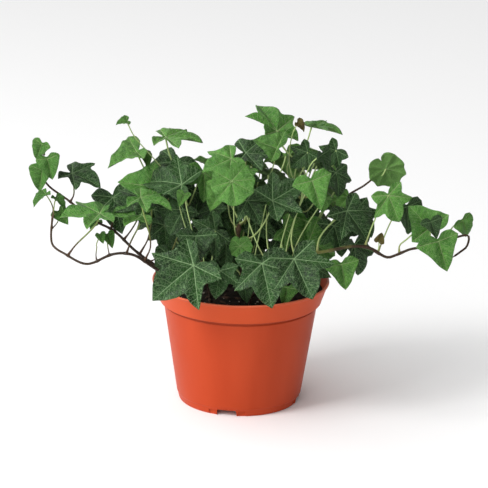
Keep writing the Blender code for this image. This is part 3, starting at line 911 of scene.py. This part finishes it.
# %% Where there is room
# A blade gets a little more room than its own size, a stalk gets a gap round it, and no blade may reach
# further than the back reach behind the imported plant.
BLADE_ROOM = 1.04
GAP = 0.3 * MM
STALK_STEP = 1.5 * MM
FREE_FOOT = 4 * MM
BACK_REACH = 13 * MM
BACK_LIMIT = cad_box[1][1] + BACK_REACH
grown = []


def surface_of(thing):
    """An object's points and the corners of its faces."""
    points = [vertex.co.copy() for vertex in thing.data.vertices]
    return points, [tuple(face.vertices) for face in thing.data.polygons]


def box_of(points):
    low = Vector(tuple(min(point[axis] for point in points) for axis in range(3)))
    high = Vector(tuple(max(point[axis] for point in points) for axis in range(3)))
    return low, high


def remember(thing):
    """Notes an object's surface, so that later leaves keep clear of it."""
    points, faces = surface_of(thing)
    grown.append((*box_of(points), BVHTree.FromPolygons(points, faces)))


def apart(low, high, other_low, other_high):
    """Says whether two boxes have room between them."""
    return any(low[axis] > other_high[axis] or high[axis] < other_low[axis] for axis in range(3))


def blade_is_clear(form, place, length):
    """Says whether a blade of this form and length would touch nothing there."""
    flat_points, faces = form_surfaces[form]
    points = [place @ (point * length * BLADE_ROOM) for point in flat_points]
    low, high = box_of(points)
    if high.y > BACK_LIMIT:
        return False
    near = [tree for other_low, other_high, tree in grown if not apart(low, high, other_low, other_high)]
    if not near:
        return True
    tree = BVHTree.FromPolygons(points, faces)
    return not any(tree.overlap(other) for other in near)


def stalk_is_clear(points, radius):
    """Says whether a stalk would touch nothing past its foot, which has to meet its stem."""
    reach = Vector((radius + GAP,) * 3)
    for start, end in zip(points[:-1], points[1:]):
        count = max(1, math.ceil((end - start).length / STALK_STEP))
        for step in range(count):
            spot = start.lerp(end, step / count)
            if (spot - points[0]).length < FREE_FOOT:
                continue
            for low, high, tree in grown:
                if not apart(spot - reach, spot + reach, low, high):
                    if tree.find_nearest(spot, radius + GAP)[0] is not None:
                        return False
    return True


form_surfaces = {form: surface_of(blade) for form, blade in blade_forms.items()}
for leaf in fine_leaves:
    remember(leaf)
for name in ("pot", "soil", *stem_nodes):
    remember(frame["nodes"][name])
print("keeping clear of", len(grown), "shapes")


# %% Place a small leaf
BOW_SHARE = 0.3
LONGEST_BOW = 9 * MM
BEND_STEPS = 5
# A new stalk starts this far from the middle of its stem, in millimetres.
FOOT_OUT = 0.9


def facing(compass, height, turn):
    """A leaf's axes. Its upper face looks this way, and its tip is turned from hanging straight down."""
    compass, height, turn = (math.radians(angle) for angle in (compass, height, turn))
    level = Vector((math.cos(compass), math.sin(compass), 0))
    normal = level * math.cos(height) + Vector((0, 0, math.sin(height)))
    hanging = level * math.sin(height) - Vector((0, 0, math.cos(height)))
    tip = Quaternion(normal, turn) @ hanging
    return Matrix((tip.cross(normal), tip, normal)).transposed().to_4x4()


def bent_stalk(foot, way_out, joint, up):
    """A stalk that leaves the stem sideways and meets the blade from below."""
    bow = min((joint - foot).length * BOW_SHARE, LONGEST_BOW)
    first = foot + (way_out + (joint - foot).normalized()) * bow
    second = joint - up * bow
    points = []
    for step in range(BEND_STEPS + 1):
        t = step / BEND_STEPS
        s = 1 - t
        points.append(s**3 * foot + 3 * s * s * t * first + 3 * s * t * t * second + t**3 * joint)
    return points


def plan_leaf(joint, face, turn, stem, share):
    """The place and the stalk's points of a new leaf."""
    place = Matrix.Translation(joint) @ facing(*face, turn)
    up = place.to_3x3().col[2]
    foot, (_, _, way) = stem_routes[stem].at(share)
    out = joint - foot
    out = (out - out.project(way)).normalized()
    start = foot + out * FOOT_OUT * MM
    return place, bent_stalk(start, out, joint - up * JOINT_DEPTH * MM, up)


def settle(form, length, joint, face, turn, stem, share, slot):
    """Makes the leaf if it has room, and says whether it did."""
    place, points = plan_leaf(joint, face, turn, stem, share)
    if not blade_is_clear(form, place, length):
        return False
    if not stalk_is_clear(points, STALK_BASE_RADIUS + STALK_RADIUS_SHARE * length):
        return False
    name = f"small_leaf_{form}_{len(small_leaves) + 1:03d}"
    leaf = make_leaf(name, form, place, length, points, slot, stem)
    leaf["stem"], leaf["green"] = stem, slot
    growth_places[stem].append(share)
    small_leaves.append(leaf)
    remember(leaf)
    return True


small_leaves = []
print("ready to grow small leaves")

# %% Leaves planned one by one
# Each row is the form, the length and the place where the stalk joins the blade, in millimetres, the
# compass direction and the height that the upper face looks to and the turn of the tip, in degrees, then
# the stem it grows from, the share of the stem's way, and the finish.
PLANNED = (
    ("young", 13, (-154, -15, 167), (-100, 30), 40, "runner_left_low", 0.93, "leaf_light"),
    ("young", 11, (-113, -20, 149), (-80, 40), 20, "runner_left_low", 0.55, "leaf_light"),
    ("young", 10, (-122, -15, 158), (-110, 50), -30, "runner_left_high", 0.50, "leaf_light"),
    ("young", 8, (115, -33, 152), (-90, 20), 160, "runner_right_low", 0.56, "leaf_tip"),
    ("three", 15, (158, -25, 170), (-80, 30), 15, "runner_right_low", 0.76, "leaf_dark"),
    ("three", 15, (3, -59, 119), (-90, 20), 10, "stem_front_right", 0.35, "leaf_dark"),
    ("three", 16, (39, -60, 116), (-80, 25), -15, "stem_front_right", 0.45, "leaf_mid"),
    ("young", 11, (21, -40, 187), (-90, 45), 20, "stem_front_right", 0.30, "leaf_mid"),
    ("young", 11, (6, -36, 212), (-90, 45), -20, "stem_middle", 0.55, "leaf_light"),
    ("young", 12, (53, -38, 198), (-80, 45), 20, "runner_right_low", 0.22, "leaf_mid"),
    ("young", 12, (68, -38, 188), (-70, 45), -20, "runner_right_low", 0.25, "leaf_mid"),
    ("young", 11, (41, -44, 184), (-90, 45), 10, "runner_right_low", 0.18, "leaf_dark"),
    ("young", 12, (-55, -36, 190), (-110, 45), 20, "stem_front_left", 0.90, "leaf_dark"),
    ("young", 11, (-48, -38, 193), (-90, 45), -20, "stem_front_left", 0.80, "leaf_mid"),
    ("young", 11, (-7, -36, 197), (-90, 45), -10, "stem_middle", 0.80, "leaf_mid"),
    ("lobed", 32, (-60, 22, 184), (-90, 15), 10, "stem_back_left", 0.60, "leaf_dark"),
    ("lobed", 30, (-42, 28, 174), (-90, 15), -15, "stem_back_left", 0.48, "leaf_dark"),
    ("lobed", 30, (54, 26, 174), (-90, 15), 10, "stem_back_right", 0.50, "leaf_dark"),
    ("lobed", 28, (-76, 10, 162), (-110, 20), 20, "stem_back_left", 0.42, "leaf_dark"),
    ("lobed", 26, (-20, 28, 134), (-90, 30), 0, "stem_back_left", 0.20, "leaf_dark"),
    ("lobed", 26, (10, 30, 136), (-90, 30), 0, "stem_back", 0.25, "leaf_dark"),
    ("lobed", 32, (-110, -6, 184), (-100, 40), 20, "runner_left_high", 0.52, "leaf_dark"),
    ("lobed", 22, (-13, -12, 141), (-90, 20), 0, "stem_middle", 0.35, "leaf_dark"),
    ("lobed", 24, (40, 10, 146), (-90, 20), 0, "stem_back_right", 0.30, "leaf_dark"),
    ("three", 22, (-60, 0, 170), (-100, 20), 0, "stem_back_left", 0.50, "leaf_dark"),
    ("lobed", 24, (-36, 2, 146), (-90, 15), 0, "stem_back_left", 0.35, "leaf_dark"),
    ("three", 18, (-34, -12, 141), (-95, 20), 0, "stem_front_left", 0.60, "leaf_dark"),
    ("lobed", 24, (-66, -4, 152), (-100, 20), 10, "stem_front_left", 0.50, "leaf_dark"),
    ("lobed", 22, (4, -34, 197), (-80, 40), 30, "stem_middle", 0.97, "leaf_dark"),
    ("three", 20, (-18, -30, 192), (-110, 30), -20, "stem_middle", 0.99, "leaf_mid"),
)
SEARCH_STEP = 3 * MM
SHIFTS = (0, 1, -1, 2, -2, 3, -3, 4, -4)
DROPS = (0, 1, 2, 3)
# Where a planned place is taken, the search steps back and forth from it, and then lower.
PLACES = [(shift, drop) for drop in DROPS for shift in SHIFTS]
for form, length, joint, face, turn, stem, share, slot in PLANNED:
    for shift, drop in PLACES:
        spot = Vector(joint) * MM + Vector((0, shift * SEARCH_STEP, -drop * SEARCH_STEP))
        if settle(form, length * MM, spot, face, turn, stem, share, slot):
            break
print(len(small_leaves), "of", len(PLANNED), "planned leaves placed")

# %% Leaves that grow by rule
# The crown's outline: a place across, and the greatest height there that a leaf may seem to have from
# a little above the front, in millimetres.
CROWN = (
    (-78, 172), (-66, 194), (-50, 203), (-34, 208), (-15, 214), (22, 219), (45, 221), (84, 214),
    (98, 182), (112, 146),
)
RISE_PER_DEPTH = math.tan(CAMERA_HEIGHT_ANGLE)
TRIES = 5200
LONGEST, SHORTEST = 30 * MM, 15 * MM
# Where the joints may be, in millimetres. The height has a low, a high and a likeliest value.
ACROSS = (-76, 108)
DEPTH = (-24, 80)
HEIGHT = (84, 222, 125)
# The lowest place of a leaf over the pot and round it, counted from the rim.
OVER_POT, ROUND_POT = 2 * MM, -26 * MM
POT_MARGIN = 5 * MM
LOWEST_FOOT = -3 * MM
# From here back a leaf faces outward, and from this height up it looks up more.
BACK_HALF = 14 * MM
TOP_HEIGHT, TOP_TILT = 180 * MM, 20
# How far below its joint a stalk's foot may be, and how far aside of it.
LEAST_RISE, MOST_RISE = 6 * MM, 76 * MM
ASIDE, ASIDE_PER_RISE = 12 * MM, 0.7
FEET_PER_STEM = 14
pot_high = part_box("pot")[1]
POT_HEIGHT = pot_high.z
RIM_RADIUS = pot_high.x
growing = random.Random(21)
feet = []
for name, route in stem_routes.items():
    for step in range(2, FEET_PER_STEM + 1):
        foot = route.at(step / FEET_PER_STEM)[0]
        if foot.z > POT_HEIGHT + LOWEST_FOOT:
            feet.append((foot, name, step / FEET_PER_STEM))


def crown_top(across):
    """The height of the crown's outline at this place across, or zero outside it."""
    for (left, low), (right, high) in zip(CROWN, CROWN[1:]):
        if left * MM <= across <= right * MM:
            share = (across / MM - left) / (right - left)
            return (low + (high - low) * share) * MM
    return 0.0


def in_crown(point):
    """Under the crown's outline, and above the soil or hanging outside the rim."""
    over_pot = math.hypot(point.x, point.y) < RIM_RADIUS + POT_MARGIN
    lowest = POT_HEIGHT + (OVER_POT if over_pot else ROUND_POT)
    seems = point.z + RISE_PER_DEPTH * point.y
    in_depth = DEPTH[0] * MM < point.y < DEPTH[1] * MM
    return point.z > lowest and in_depth and seems < crown_top(point.x)


def foot_for(joint):
    """A place on a stem from which a stalk can rise to the joint."""
    near = []
    for foot, name, share in feet:
        rise = joint.z - foot.z
        aside = math.hypot(joint.x - foot.x, joint.y - foot.y)
        if LEAST_RISE < rise < MOST_RISE and aside < ASIDE + ASIDE_PER_RISE * rise:
            near.append((name, share))
    return growing.choice(near) if near else None


def try_to_grow(length):
    """Draws a leaf at random and keeps it if it is in the crown and has room."""
    joint = (growing.uniform(*ACROSS), growing.uniform(*DEPTH), growing.triangular(*HEIGHT))
    joint = Vector(joint) * MM
    if not in_crown(joint):
        return
    outward = math.degrees(math.atan2(joint.y, joint.x))
    faces_out = joint.y > BACK_HALF
    compass = outward + growing.uniform(-35, 35) if faces_out else growing.uniform(-135, -45)
    face = (compass, growing.uniform(8, 50) + TOP_TILT * (joint.z > TOP_HEIGHT))
    turn = growing.uniform(-60, 60)
    tip = joint + facing(*face, turn).col[1].to_3d() * length
    root = foot_for(joint)
    if root is None or not in_crown(tip):
        return
    form = growing.choices(("lobed", "three", "young"), (7, 3, 1))[0]
    slot = growing.choices(("leaf_dark", "leaf_mid", "leaf_light"), (7, 4, 1))[0]
    settle(form, length, joint, face, turn, *root, slot)


# The longest are tried first, while there is room for them.
planned_count = len(small_leaves)
for index in range(TRIES):
    length = LONGEST + (SHORTEST - LONGEST) * index / TRIES
    try_to_grow(length * growing.uniform(0.85, 1.1))
print(len(small_leaves) - planned_count, "leaves grown by rule in", TRIES, "tries")

# %% Join the small leaves into shoots
# The small leaves are many, so those of one stem and one green become one piece.
shoots = {}
for leaf in small_leaves:
    shoots.setdefault((leaf["stem"], leaf["green"]), []).append(leaf)
for (stem, slot), leaves in shoots.items():
    join(leaves).name = f"small_leaves_{stem}_{slot}"
print(len(shoots), "shoots of small leaves")

# %% [markdown]
# ## The stems' skin
#
# An ivy stem thickens where a leaf grows from it. Every leaf's foot has been noted, so the stem's tube
# swells a little there, and it narrows to a blunt point at its tip.

# %% Dress the stems
SWELL = 0.32
SWELL_REACH = 1.6 * MM
BLUNT_LENGTH = 4 * MM


def stem_radius(name):
    radii = [radius for _, radius in packed_stems[name]]
    length = stem_routes[name].length

    def at(share):
        spot = share * (len(radii) - 1)
        index = min(int(spot), len(radii) - 2)
        plain = radii[index] + (radii[index + 1] - radii[index]) * (spot - index)
        gaps = [(share - place) * length for place in growth_places[name]]
        swollen = sum(math.exp(-((gap / SWELL_REACH) ** 2)) for gap in gaps)
        blunt = min(1, 0.35 + (1 - share) * length / BLUNT_LENGTH)
        return plain * (1 + SWELL * min(1, swollen)) * blunt

    return at


for name in stem_nodes:
    stem = tube_on(stem_routes[name], stem_form, stem_radius(name), "ivy_" + name)
    stem.data.materials.append(stem_green if name == "runner_right_low" else stem_bark)
    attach(stem, "root")
    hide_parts(name)
print("dressed", len(stem_nodes), "stems")

# %% [markdown]
# ## The pot
#
# The pot is injection moulded: a thin tapered wall, a flared band under the rim, a flat floor on a
# short foot ring with four notches, and round drain holes. A lathe turns such a shape from a profile.
# We do the same with a ring of edges that is extruded through the profile's corners, each of them
# rounded by a small arc, and then cut the notches and holes with a Boolean modifier.

# %% Pot sizes
POT_SIDES = 144
BAND_HEIGHT = 18 * MM
BAND_FOOT_RADIUS = 69.5 * MM
LEDGE_DEPTH = 3.1 * MM
CREASE_HEIGHT = 3.4 * MM
CREASE_DEPTH = 0.7 * MM
FOOT_RADIUS = 53 * MM
WALL = 1.6 * MM
FLOOR_LIFT = 5 * MM
FOOT_RING_WIDTH = 3 * MM
DISC_RADIUS = 14 * MM
NOTCH_COUNT = 4
NOTCH_SIZE = (12 * MM, 17 * MM, 10.6 * MM)
NOTCH_TURN = math.radians(-101)
RECESS_SIZE = (2.4 * MM, 6.4 * MM, 9 * MM)
RECESS_TURN = math.radians(14)
RECESS_RADIUS = FOOT_RADIUS - 0.4 * MM
DRAIN_COUNT = 8
DRAIN_RADIUS = 4 * MM
DRAIN_CIRCLE_RADIUS = 32 * MM
print("pot", round(POT_HEIGHT / MM, 1), "mm tall,", round(RIM_RADIUS / MM, 1), "mm in radius at its rim")


# %% Turn the pot
def outer_radius(height):
    """The wall's outer radius below the band."""
    ledge_radius = BAND_FOOT_RADIUS - LEDGE_DEPTH
    return FOOT_RADIUS + (ledge_radius - FOOT_RADIUS) * height / (POT_HEIGHT - BAND_HEIGHT)


def rounded(corners, steps=3):
    """The profile with each corner replaced by a small arc. A corner is radius, height and arc size."""
    line = [Vector(corners[0][:2])]
    for before, corner, after in zip(corners, corners[1:], corners[2:]):
        here = Vector(corner[:2])
        to_before, to_after = Vector(before[:2]) - here, Vector(after[:2]) - here
        size = min(corner[2], 0.45 * to_before.length, 0.45 * to_after.length)
        start = here + to_before.normalized() * size
        end = here + to_after.normalized() * size
        for step in range(steps + 1):
            t = step / steps
            line.append((1 - t) ** 2 * start + 2 * t * (1 - t) * here + t * t * end)
    line.append(Vector(corners[-1][:2]))
    return line


def turn_profile(name, line, sides):
    """A solid of revolution round the Z axis whose profile this line is. Both its ends are closed."""
    radius, height = line[0]
    bpy.ops.object.select_all(action="DESELECT")
    bpy.ops.mesh.primitive_circle_add(
        vertices=sides, radius=radius, fill_type="TRIFAN", location=(0, 0, height)
    )
    made = bpy.context.object
    bpy.ops.object.transform_apply()
    made.name = name
    start_edit(made)
    extrude_border(line)
    bpy.ops.mesh.edge_face_add()
    end_edit()
    return made


ledge = POT_HEIGHT - BAND_HEIGHT
floor_top = FLOOR_LIFT + WALL
ring_inside = FOOT_RADIUS - FOOT_RING_WIDTH
pot_corners = (
    (2 * MM, 0, 0),
    (DISC_RADIUS, 0, 0.4 * MM),
    (DISC_RADIUS, FLOOR_LIFT, 0.6 * MM),
    (ring_inside, FLOOR_LIFT, 0.6 * MM),
    (ring_inside, 0, 0.4 * MM),
    (FOOT_RADIUS - 0.9 * MM, 0, 1.0 * MM),
    (outer_radius(6 * MM) - 0.5 * MM, 6 * MM, 0.4 * MM),
    (outer_radius(6.6 * MM), 6.6 * MM, 0.5 * MM),
    (outer_radius(ledge - CREASE_HEIGHT), ledge - CREASE_HEIGHT, 0.7 * MM),
    (outer_radius(ledge - CREASE_HEIGHT) - CREASE_DEPTH, ledge - CREASE_HEIGHT + 0.8 * MM, 0.5 * MM),
    (outer_radius(ledge) - CREASE_DEPTH, ledge - 0.5 * MM, 0.5 * MM),
    (BAND_FOOT_RADIUS, ledge - 0.2 * MM, 0.7 * MM),
    (BAND_FOOT_RADIUS + 0.5 * MM, ledge + 2 * MM, 1.5 * MM),
    (RIM_RADIUS - 1.2 * MM, POT_HEIGHT - 2.4 * MM, 1.0 * MM),
    (RIM_RADIUS, POT_HEIGHT - 1.6 * MM, 0.5 * MM),
    (RIM_RADIUS, POT_HEIGHT, 0.7 * MM),
    (RIM_RADIUS - 2.0 * MM, POT_HEIGHT, 0.7 * MM),
    (RIM_RADIUS - 2.2 * MM, POT_HEIGHT - 1.5 * MM, 0.6 * MM),
    (BAND_FOOT_RADIUS - WALL, ledge + WALL, 0.8 * MM),
    (outer_radius(ledge) - WALL, ledge - WALL, 0.8 * MM),
    (outer_radius(floor_top) - WALL, floor_top, 1.5 * MM),
    (2 * MM, floor_top, 0),
)
pot = turn_profile("nursery_pot", rounded(pot_corners), POT_SIDES)
print("turned a pot of", len(pot.data.polygons), "faces")


# %% Cut notches, recesses and drain holes
def cut_with(body, cutters):
    """Joins the cutters and takes them out of the body."""
    joined = join(cutters)
    boolean = body.modifiers.new("Cut", "BOOLEAN")
    boolean.object = joined
    boolean.solver = "EXACT"
    apply_modifiers(body)
    bpy.data.objects.remove(joined, do_unlink=True)


def block(size, radius, turn):
    """A box with rounded edges at this radius and turn, centred on the ground."""
    middle = Vector((math.cos(turn), math.sin(turn), 0)) * radius
    bpy.ops.object.select_all(action="DESELECT")
    bpy.ops.mesh.primitive_cube_add(size=1, location=middle, rotation=(0, 0, turn))
    made = bpy.context.object
    made.scale = size
    bpy.ops.object.transform_apply()
    bevel = made.modifiers.new("Round", "BEVEL")
    bevel.width = 0.12 * min(size)
    bevel.segments = 2
    apply_modifiers(made)
    return made


cutters = []
for index in range(NOTCH_COUNT):
    turn = NOTCH_TURN + index * math.tau / NOTCH_COUNT
    cutters.append(block(NOTCH_SIZE, FOOT_RADIUS, turn))
    for side in (-1, 1):
        cutters.append(block(RECESS_SIZE, RECESS_RADIUS, turn + side * RECESS_TURN))
for index in range(DRAIN_COUNT):
    turn = NOTCH_TURN + (index + 0.5) * math.tau / DRAIN_COUNT
    middle = Vector((math.cos(turn), math.sin(turn), 0)) * DRAIN_CIRCLE_RADIUS
    middle.z = FLOOR_LIFT + WALL / 2
    bpy.ops.object.select_all(action="DESELECT")
    bpy.ops.mesh.primitive_cylinder_add(
        vertices=24, radius=DRAIN_RADIUS, depth=3 * WALL, location=middle
    )
    bpy.ops.object.transform_apply()
    cutters.append(bpy.context.object)
cut_with(pot, cutters)
only(pot)
bpy.ops.object.shade_smooth_by_angle(angle=math.radians(35))
print("pot has", len(pot.data.polygons), "faces after cutting")

# %% [markdown]
# The plastic is a warm terracotta orange with a satin skin. Moulded plastic has a very fine grain, a
# soft vertical drift in tone where it flowed, and a little dust near the foot. On top of that, painted
# light makes the band paler, a painted highlight runs along the lip, and a line of painted shade darkens
# the crease under the band. All of it is read from the pot's own coordinates.

# %% Pot finish
def pot_finish():
    made, tree, shader = new_finish("pot_plastic", 0.42)
    place = place_on_object(tree)
    stretched = add(tree, "Mapping", {"Vector": place, "Scale": (1, 1, 0.12)}).outputs["Vector"]
    flow = ramp(tree, noise_at(tree, stretched, 28, 3), 0.3, 0.7)
    base = blend(tree, flow, colour(0.42, 0.047, 0.011), colour(0.47, 0.057, 0.015))
    height = add(tree, "SeparateXYZ", {"Vector": place}).outputs["Z"]
    # Painted light: the band above the ledge is painted paler, as if it caught more of the light.
    painted_band_light = ramp(tree, height, ledge - 0.4 * MM, ledge + 0.6 * MM, 0, 0.75)
    base = blend(tree, painted_band_light, base, colour(0.57, 0.078, 0.022))
    # Painted shade: the wall just under the band is darkened where the band's overhang shades it.
    from_crease = calc(tree, "ABSOLUTE", calc(tree, "SUBTRACT", height, ledge - 0.5 * CREASE_HEIGHT))
    crease_painted_shade = ramp(tree, from_crease, 0.25 * CREASE_HEIGHT, 0.7 * CREASE_HEIGHT, 0.42, 0)
    base = blend(tree, crease_painted_shade, base, colour(0.16, 0.024, 0.009))
    # Painted highlight: a pale line along the top edge of the lip.
    lip_painted_highlight = ramp(tree, height, POT_HEIGHT - 1.6 * MM, POT_HEIGHT - 0.6 * MM)
    base = blend(tree, times(tree, lip_painted_highlight, 0.5), base, colour(0.74, 0.20, 0.11))
    scuffs = ramp(tree, noise_at(tree, place, 420, 5, 0.7), 0.62, 0.75)
    near_foot = ramp(tree, height, 0.0, 14 * MM, 1, 0.12)
    dust = times(tree, scuffs, times(tree, near_foot, 0.5))
    base = blend(tree, dust, base, colour(0.30, 0.09, 0.045))
    dress(tree, shader, base, 0.15)
    shine = calc(tree, "MULTIPLY_ADD", noise_at(tree, place, 60, 4), 0.16, 0.38)
    tree.links.new(shine, shader.inputs["Roughness"])
    bump(tree, shader, noise_at(tree, place, 1600, 2), 0.0002, 0.12)
    return made


pot.data.materials.clear()
pot.data.materials.append(pot_finish())
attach(pot, "root")
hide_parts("pot")
print("pot finished")

# %% [markdown]
# ## The soil
#
# Potting mix is a crumbly bed of peat with bits of bark and a few white grains. The bed is one disc,
# raised into lumps by layered noise, with a skirt that follows the pot's inner wall. The bits are
# modelled once each and strewn over it.

# %% Soil bed
SOIL_SIDES = 96
SOIL_RINGS = 34
SOIL_CROWN = 4 * MM
LEAST_WALL = 0.65
soil_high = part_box("soil")[1]


def soil_height(x, y):
    """The crowned bed with its lumps, which fade out at the wall."""
    share = min(1, math.hypot(x, y) / soil_high.x)
    lumps = noise.noise(Vector((x, y, 0)) * 120) * 1.6 + noise.noise(Vector((x, y, 1)) * 330) * 0.9
    lumps += abs(noise.noise(Vector((x, y, 2)) * 700)) * 0.8
    return soil_high.z - SOIL_CROWN * share**2 + (lumps - 0.4) * MM * (1 - 0.6 * share**6)


def wall_rings(node):
    """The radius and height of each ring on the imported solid's outer wall, from the top down."""
    widest = {}
    for vertex in frame["nodes"][node].data.vertices:
        level = round(vertex.co.z, 4)
        widest[level] = max(widest.get(level, 0), math.hypot(vertex.co.x, vertex.co.y))
    levels = sorted(widest, reverse=True)
    return [(widest[level], level) for level in levels if widest[level] > LEAST_WALL * soil_high.x]


radii = [soil_high.x * (index + 0.5) / (SOIL_RINGS - 0.5) for index in range(SOIL_RINGS)]
soil = ringed_disc("potting_soil", SOIL_SIDES, radii)
for vertex in soil.data.vertices:
    vertex.co.z = soil_height(vertex.co.x, vertex.co.y)
edge_level = soil_high.z - SOIL_CROWN
wall_line = [(soil_high.x, edge_level)]
wall_line += [ring for ring in wall_rings("soil") if ring[1] < edge_level - MM]
start_edit(soil)
extrude_border(wall_line)
bpy.ops.mesh.edge_face_add()
end_edit()
only(soil)
bpy.ops.object.shade_smooth_by_angle(angle=math.radians(50))
print("soil bed of", len(soil.data.polygons), "faces, its wall in", len(wall_line), "rings")

# %% Strew the bits
FROM_WALL = 2.5 * MM
strewing = random.Random(5)


def lump_form(name, size, stretch, seed):
    """A broken lump with a few dozen faces, modelled once."""
    bpy.ops.object.select_all(action="DESELECT")
    bpy.ops.mesh.primitive_ico_sphere_add(subdivisions=2, radius=size)
    made = bpy.context.object
    made.name = name
    for vertex in made.data.vertices:
        rough = 1 + 0.45 * noise.noise(vertex.co / size * 1.3 + Vector((seed, 0, 0)))
        vertex.co = Vector(part * rough * along for part, along in zip(vertex.co, stretch))
    return made


def strew(name, form, count, finish, sink):
    """Copies of the form all over the soil, sunk in by this much, joined into one piece."""
    copies = []
    for index in range(count):
        radius = (soil_high.x - FROM_WALL) * math.sqrt(strewing.random())
        turn = strewing.uniform(0, math.tau)
        x, y = radius * math.cos(turn), radius * math.sin(turn)
        scale = strewing.uniform(0.55, 1.35)
        axis = Vector([strewing.gauss(0, 1) for _ in range(3)]).normalized()
        spin = Quaternion(axis, strewing.uniform(0, 6))
        spot = Vector((x, y, soil_height(x, y) - sink))
        place = Matrix.LocRotScale(spot, spin, Vector((scale,) * 3))
        mesh = form.data.copy()
        mesh.transform(place)
        copies.append(put_in_scene(f"{name}_{index}", mesh))
    made = join(copies)
    made.name = name
    made.data.materials.clear()
    made.data.materials.append(finish)
    only(made)
    bpy.ops.object.shade_smooth_by_angle(angle=math.radians(40))
    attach(made, "root")
    return made


def soil_finish(name, dark, pale, roughness, scale):
    made, tree, shader = new_finish(name, roughness)
    place = place_on_object(tree)
    broad = ramp(tree, noise_at(tree, place, scale, 4, 0.65), 0.35, 0.7)
    fine = ramp(tree, noise_at(tree, place, scale * 6, 3, 0.7), 0.4, 0.75)
    dress(tree, shader, blend(tree, times(tree, broad, fine), colour(*dark), colour(*pale)), 0.2)
    bump(tree, shader, noise_at(tree, place, scale * 8, 4, 0.7), 0.0006, 0.9)
    return made


bed_finish = soil_finish("soil", (0.006, 0.004, 0.003), (0.055, 0.032, 0.018), 0.95, 160)
soil.data.materials.append(bed_finish)
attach(soil, "root")
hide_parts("soil")
crumb_finish = soil_finish("soil_crumbs", (0.010, 0.006, 0.004), (0.05, 0.028, 0.015), 0.95, 240)
bark_finish = soil_finish("soil_bark_bits", (0.03, 0.016, 0.009), (0.13, 0.075, 0.04), 0.85, 300)
grain_finish = soil_finish("soil_white_grains", (0.30, 0.27, 0.22), (0.60, 0.57, 0.50), 0.9, 500)
crumb = lump_form("crumb_form", 1.5 * MM, stretch=(1, 0.8, 0.7), seed=1)
chip = lump_form("chip_form", 2.4 * MM, stretch=(1.3, 0.5, 0.28), seed=4)
grain = lump_form("grain_form", 0.9 * MM, stretch=(1, 0.9, 0.8), seed=9)
strew("soil_crumb_bits", crumb, 420, crumb_finish, sink=0.3 * MM)
strew("soil_bark_chips", chip, 90, bark_finish, sink=-0.2 * MM)
strew("soil_grains", grain, 60, grain_finish, sink=-0.2 * MM)
print("soil strewn")

# %% [markdown]
# ## Tidy up and hand over
#
# The forms that were copied are removed, since they are no part of the plant. Last we print the
# size of the imported model, and finish.

# %% Remove the forms and finish
for form in (*blade_forms.values(), stalk_form, stem_form, crumb, chip, grain):
    bpy.data.objects.remove(form, do_unlink=True)
bpy.context.view_layer.update()
print("packed", [tuple(round(v, 4) for v in corner) for corner in cad_box])
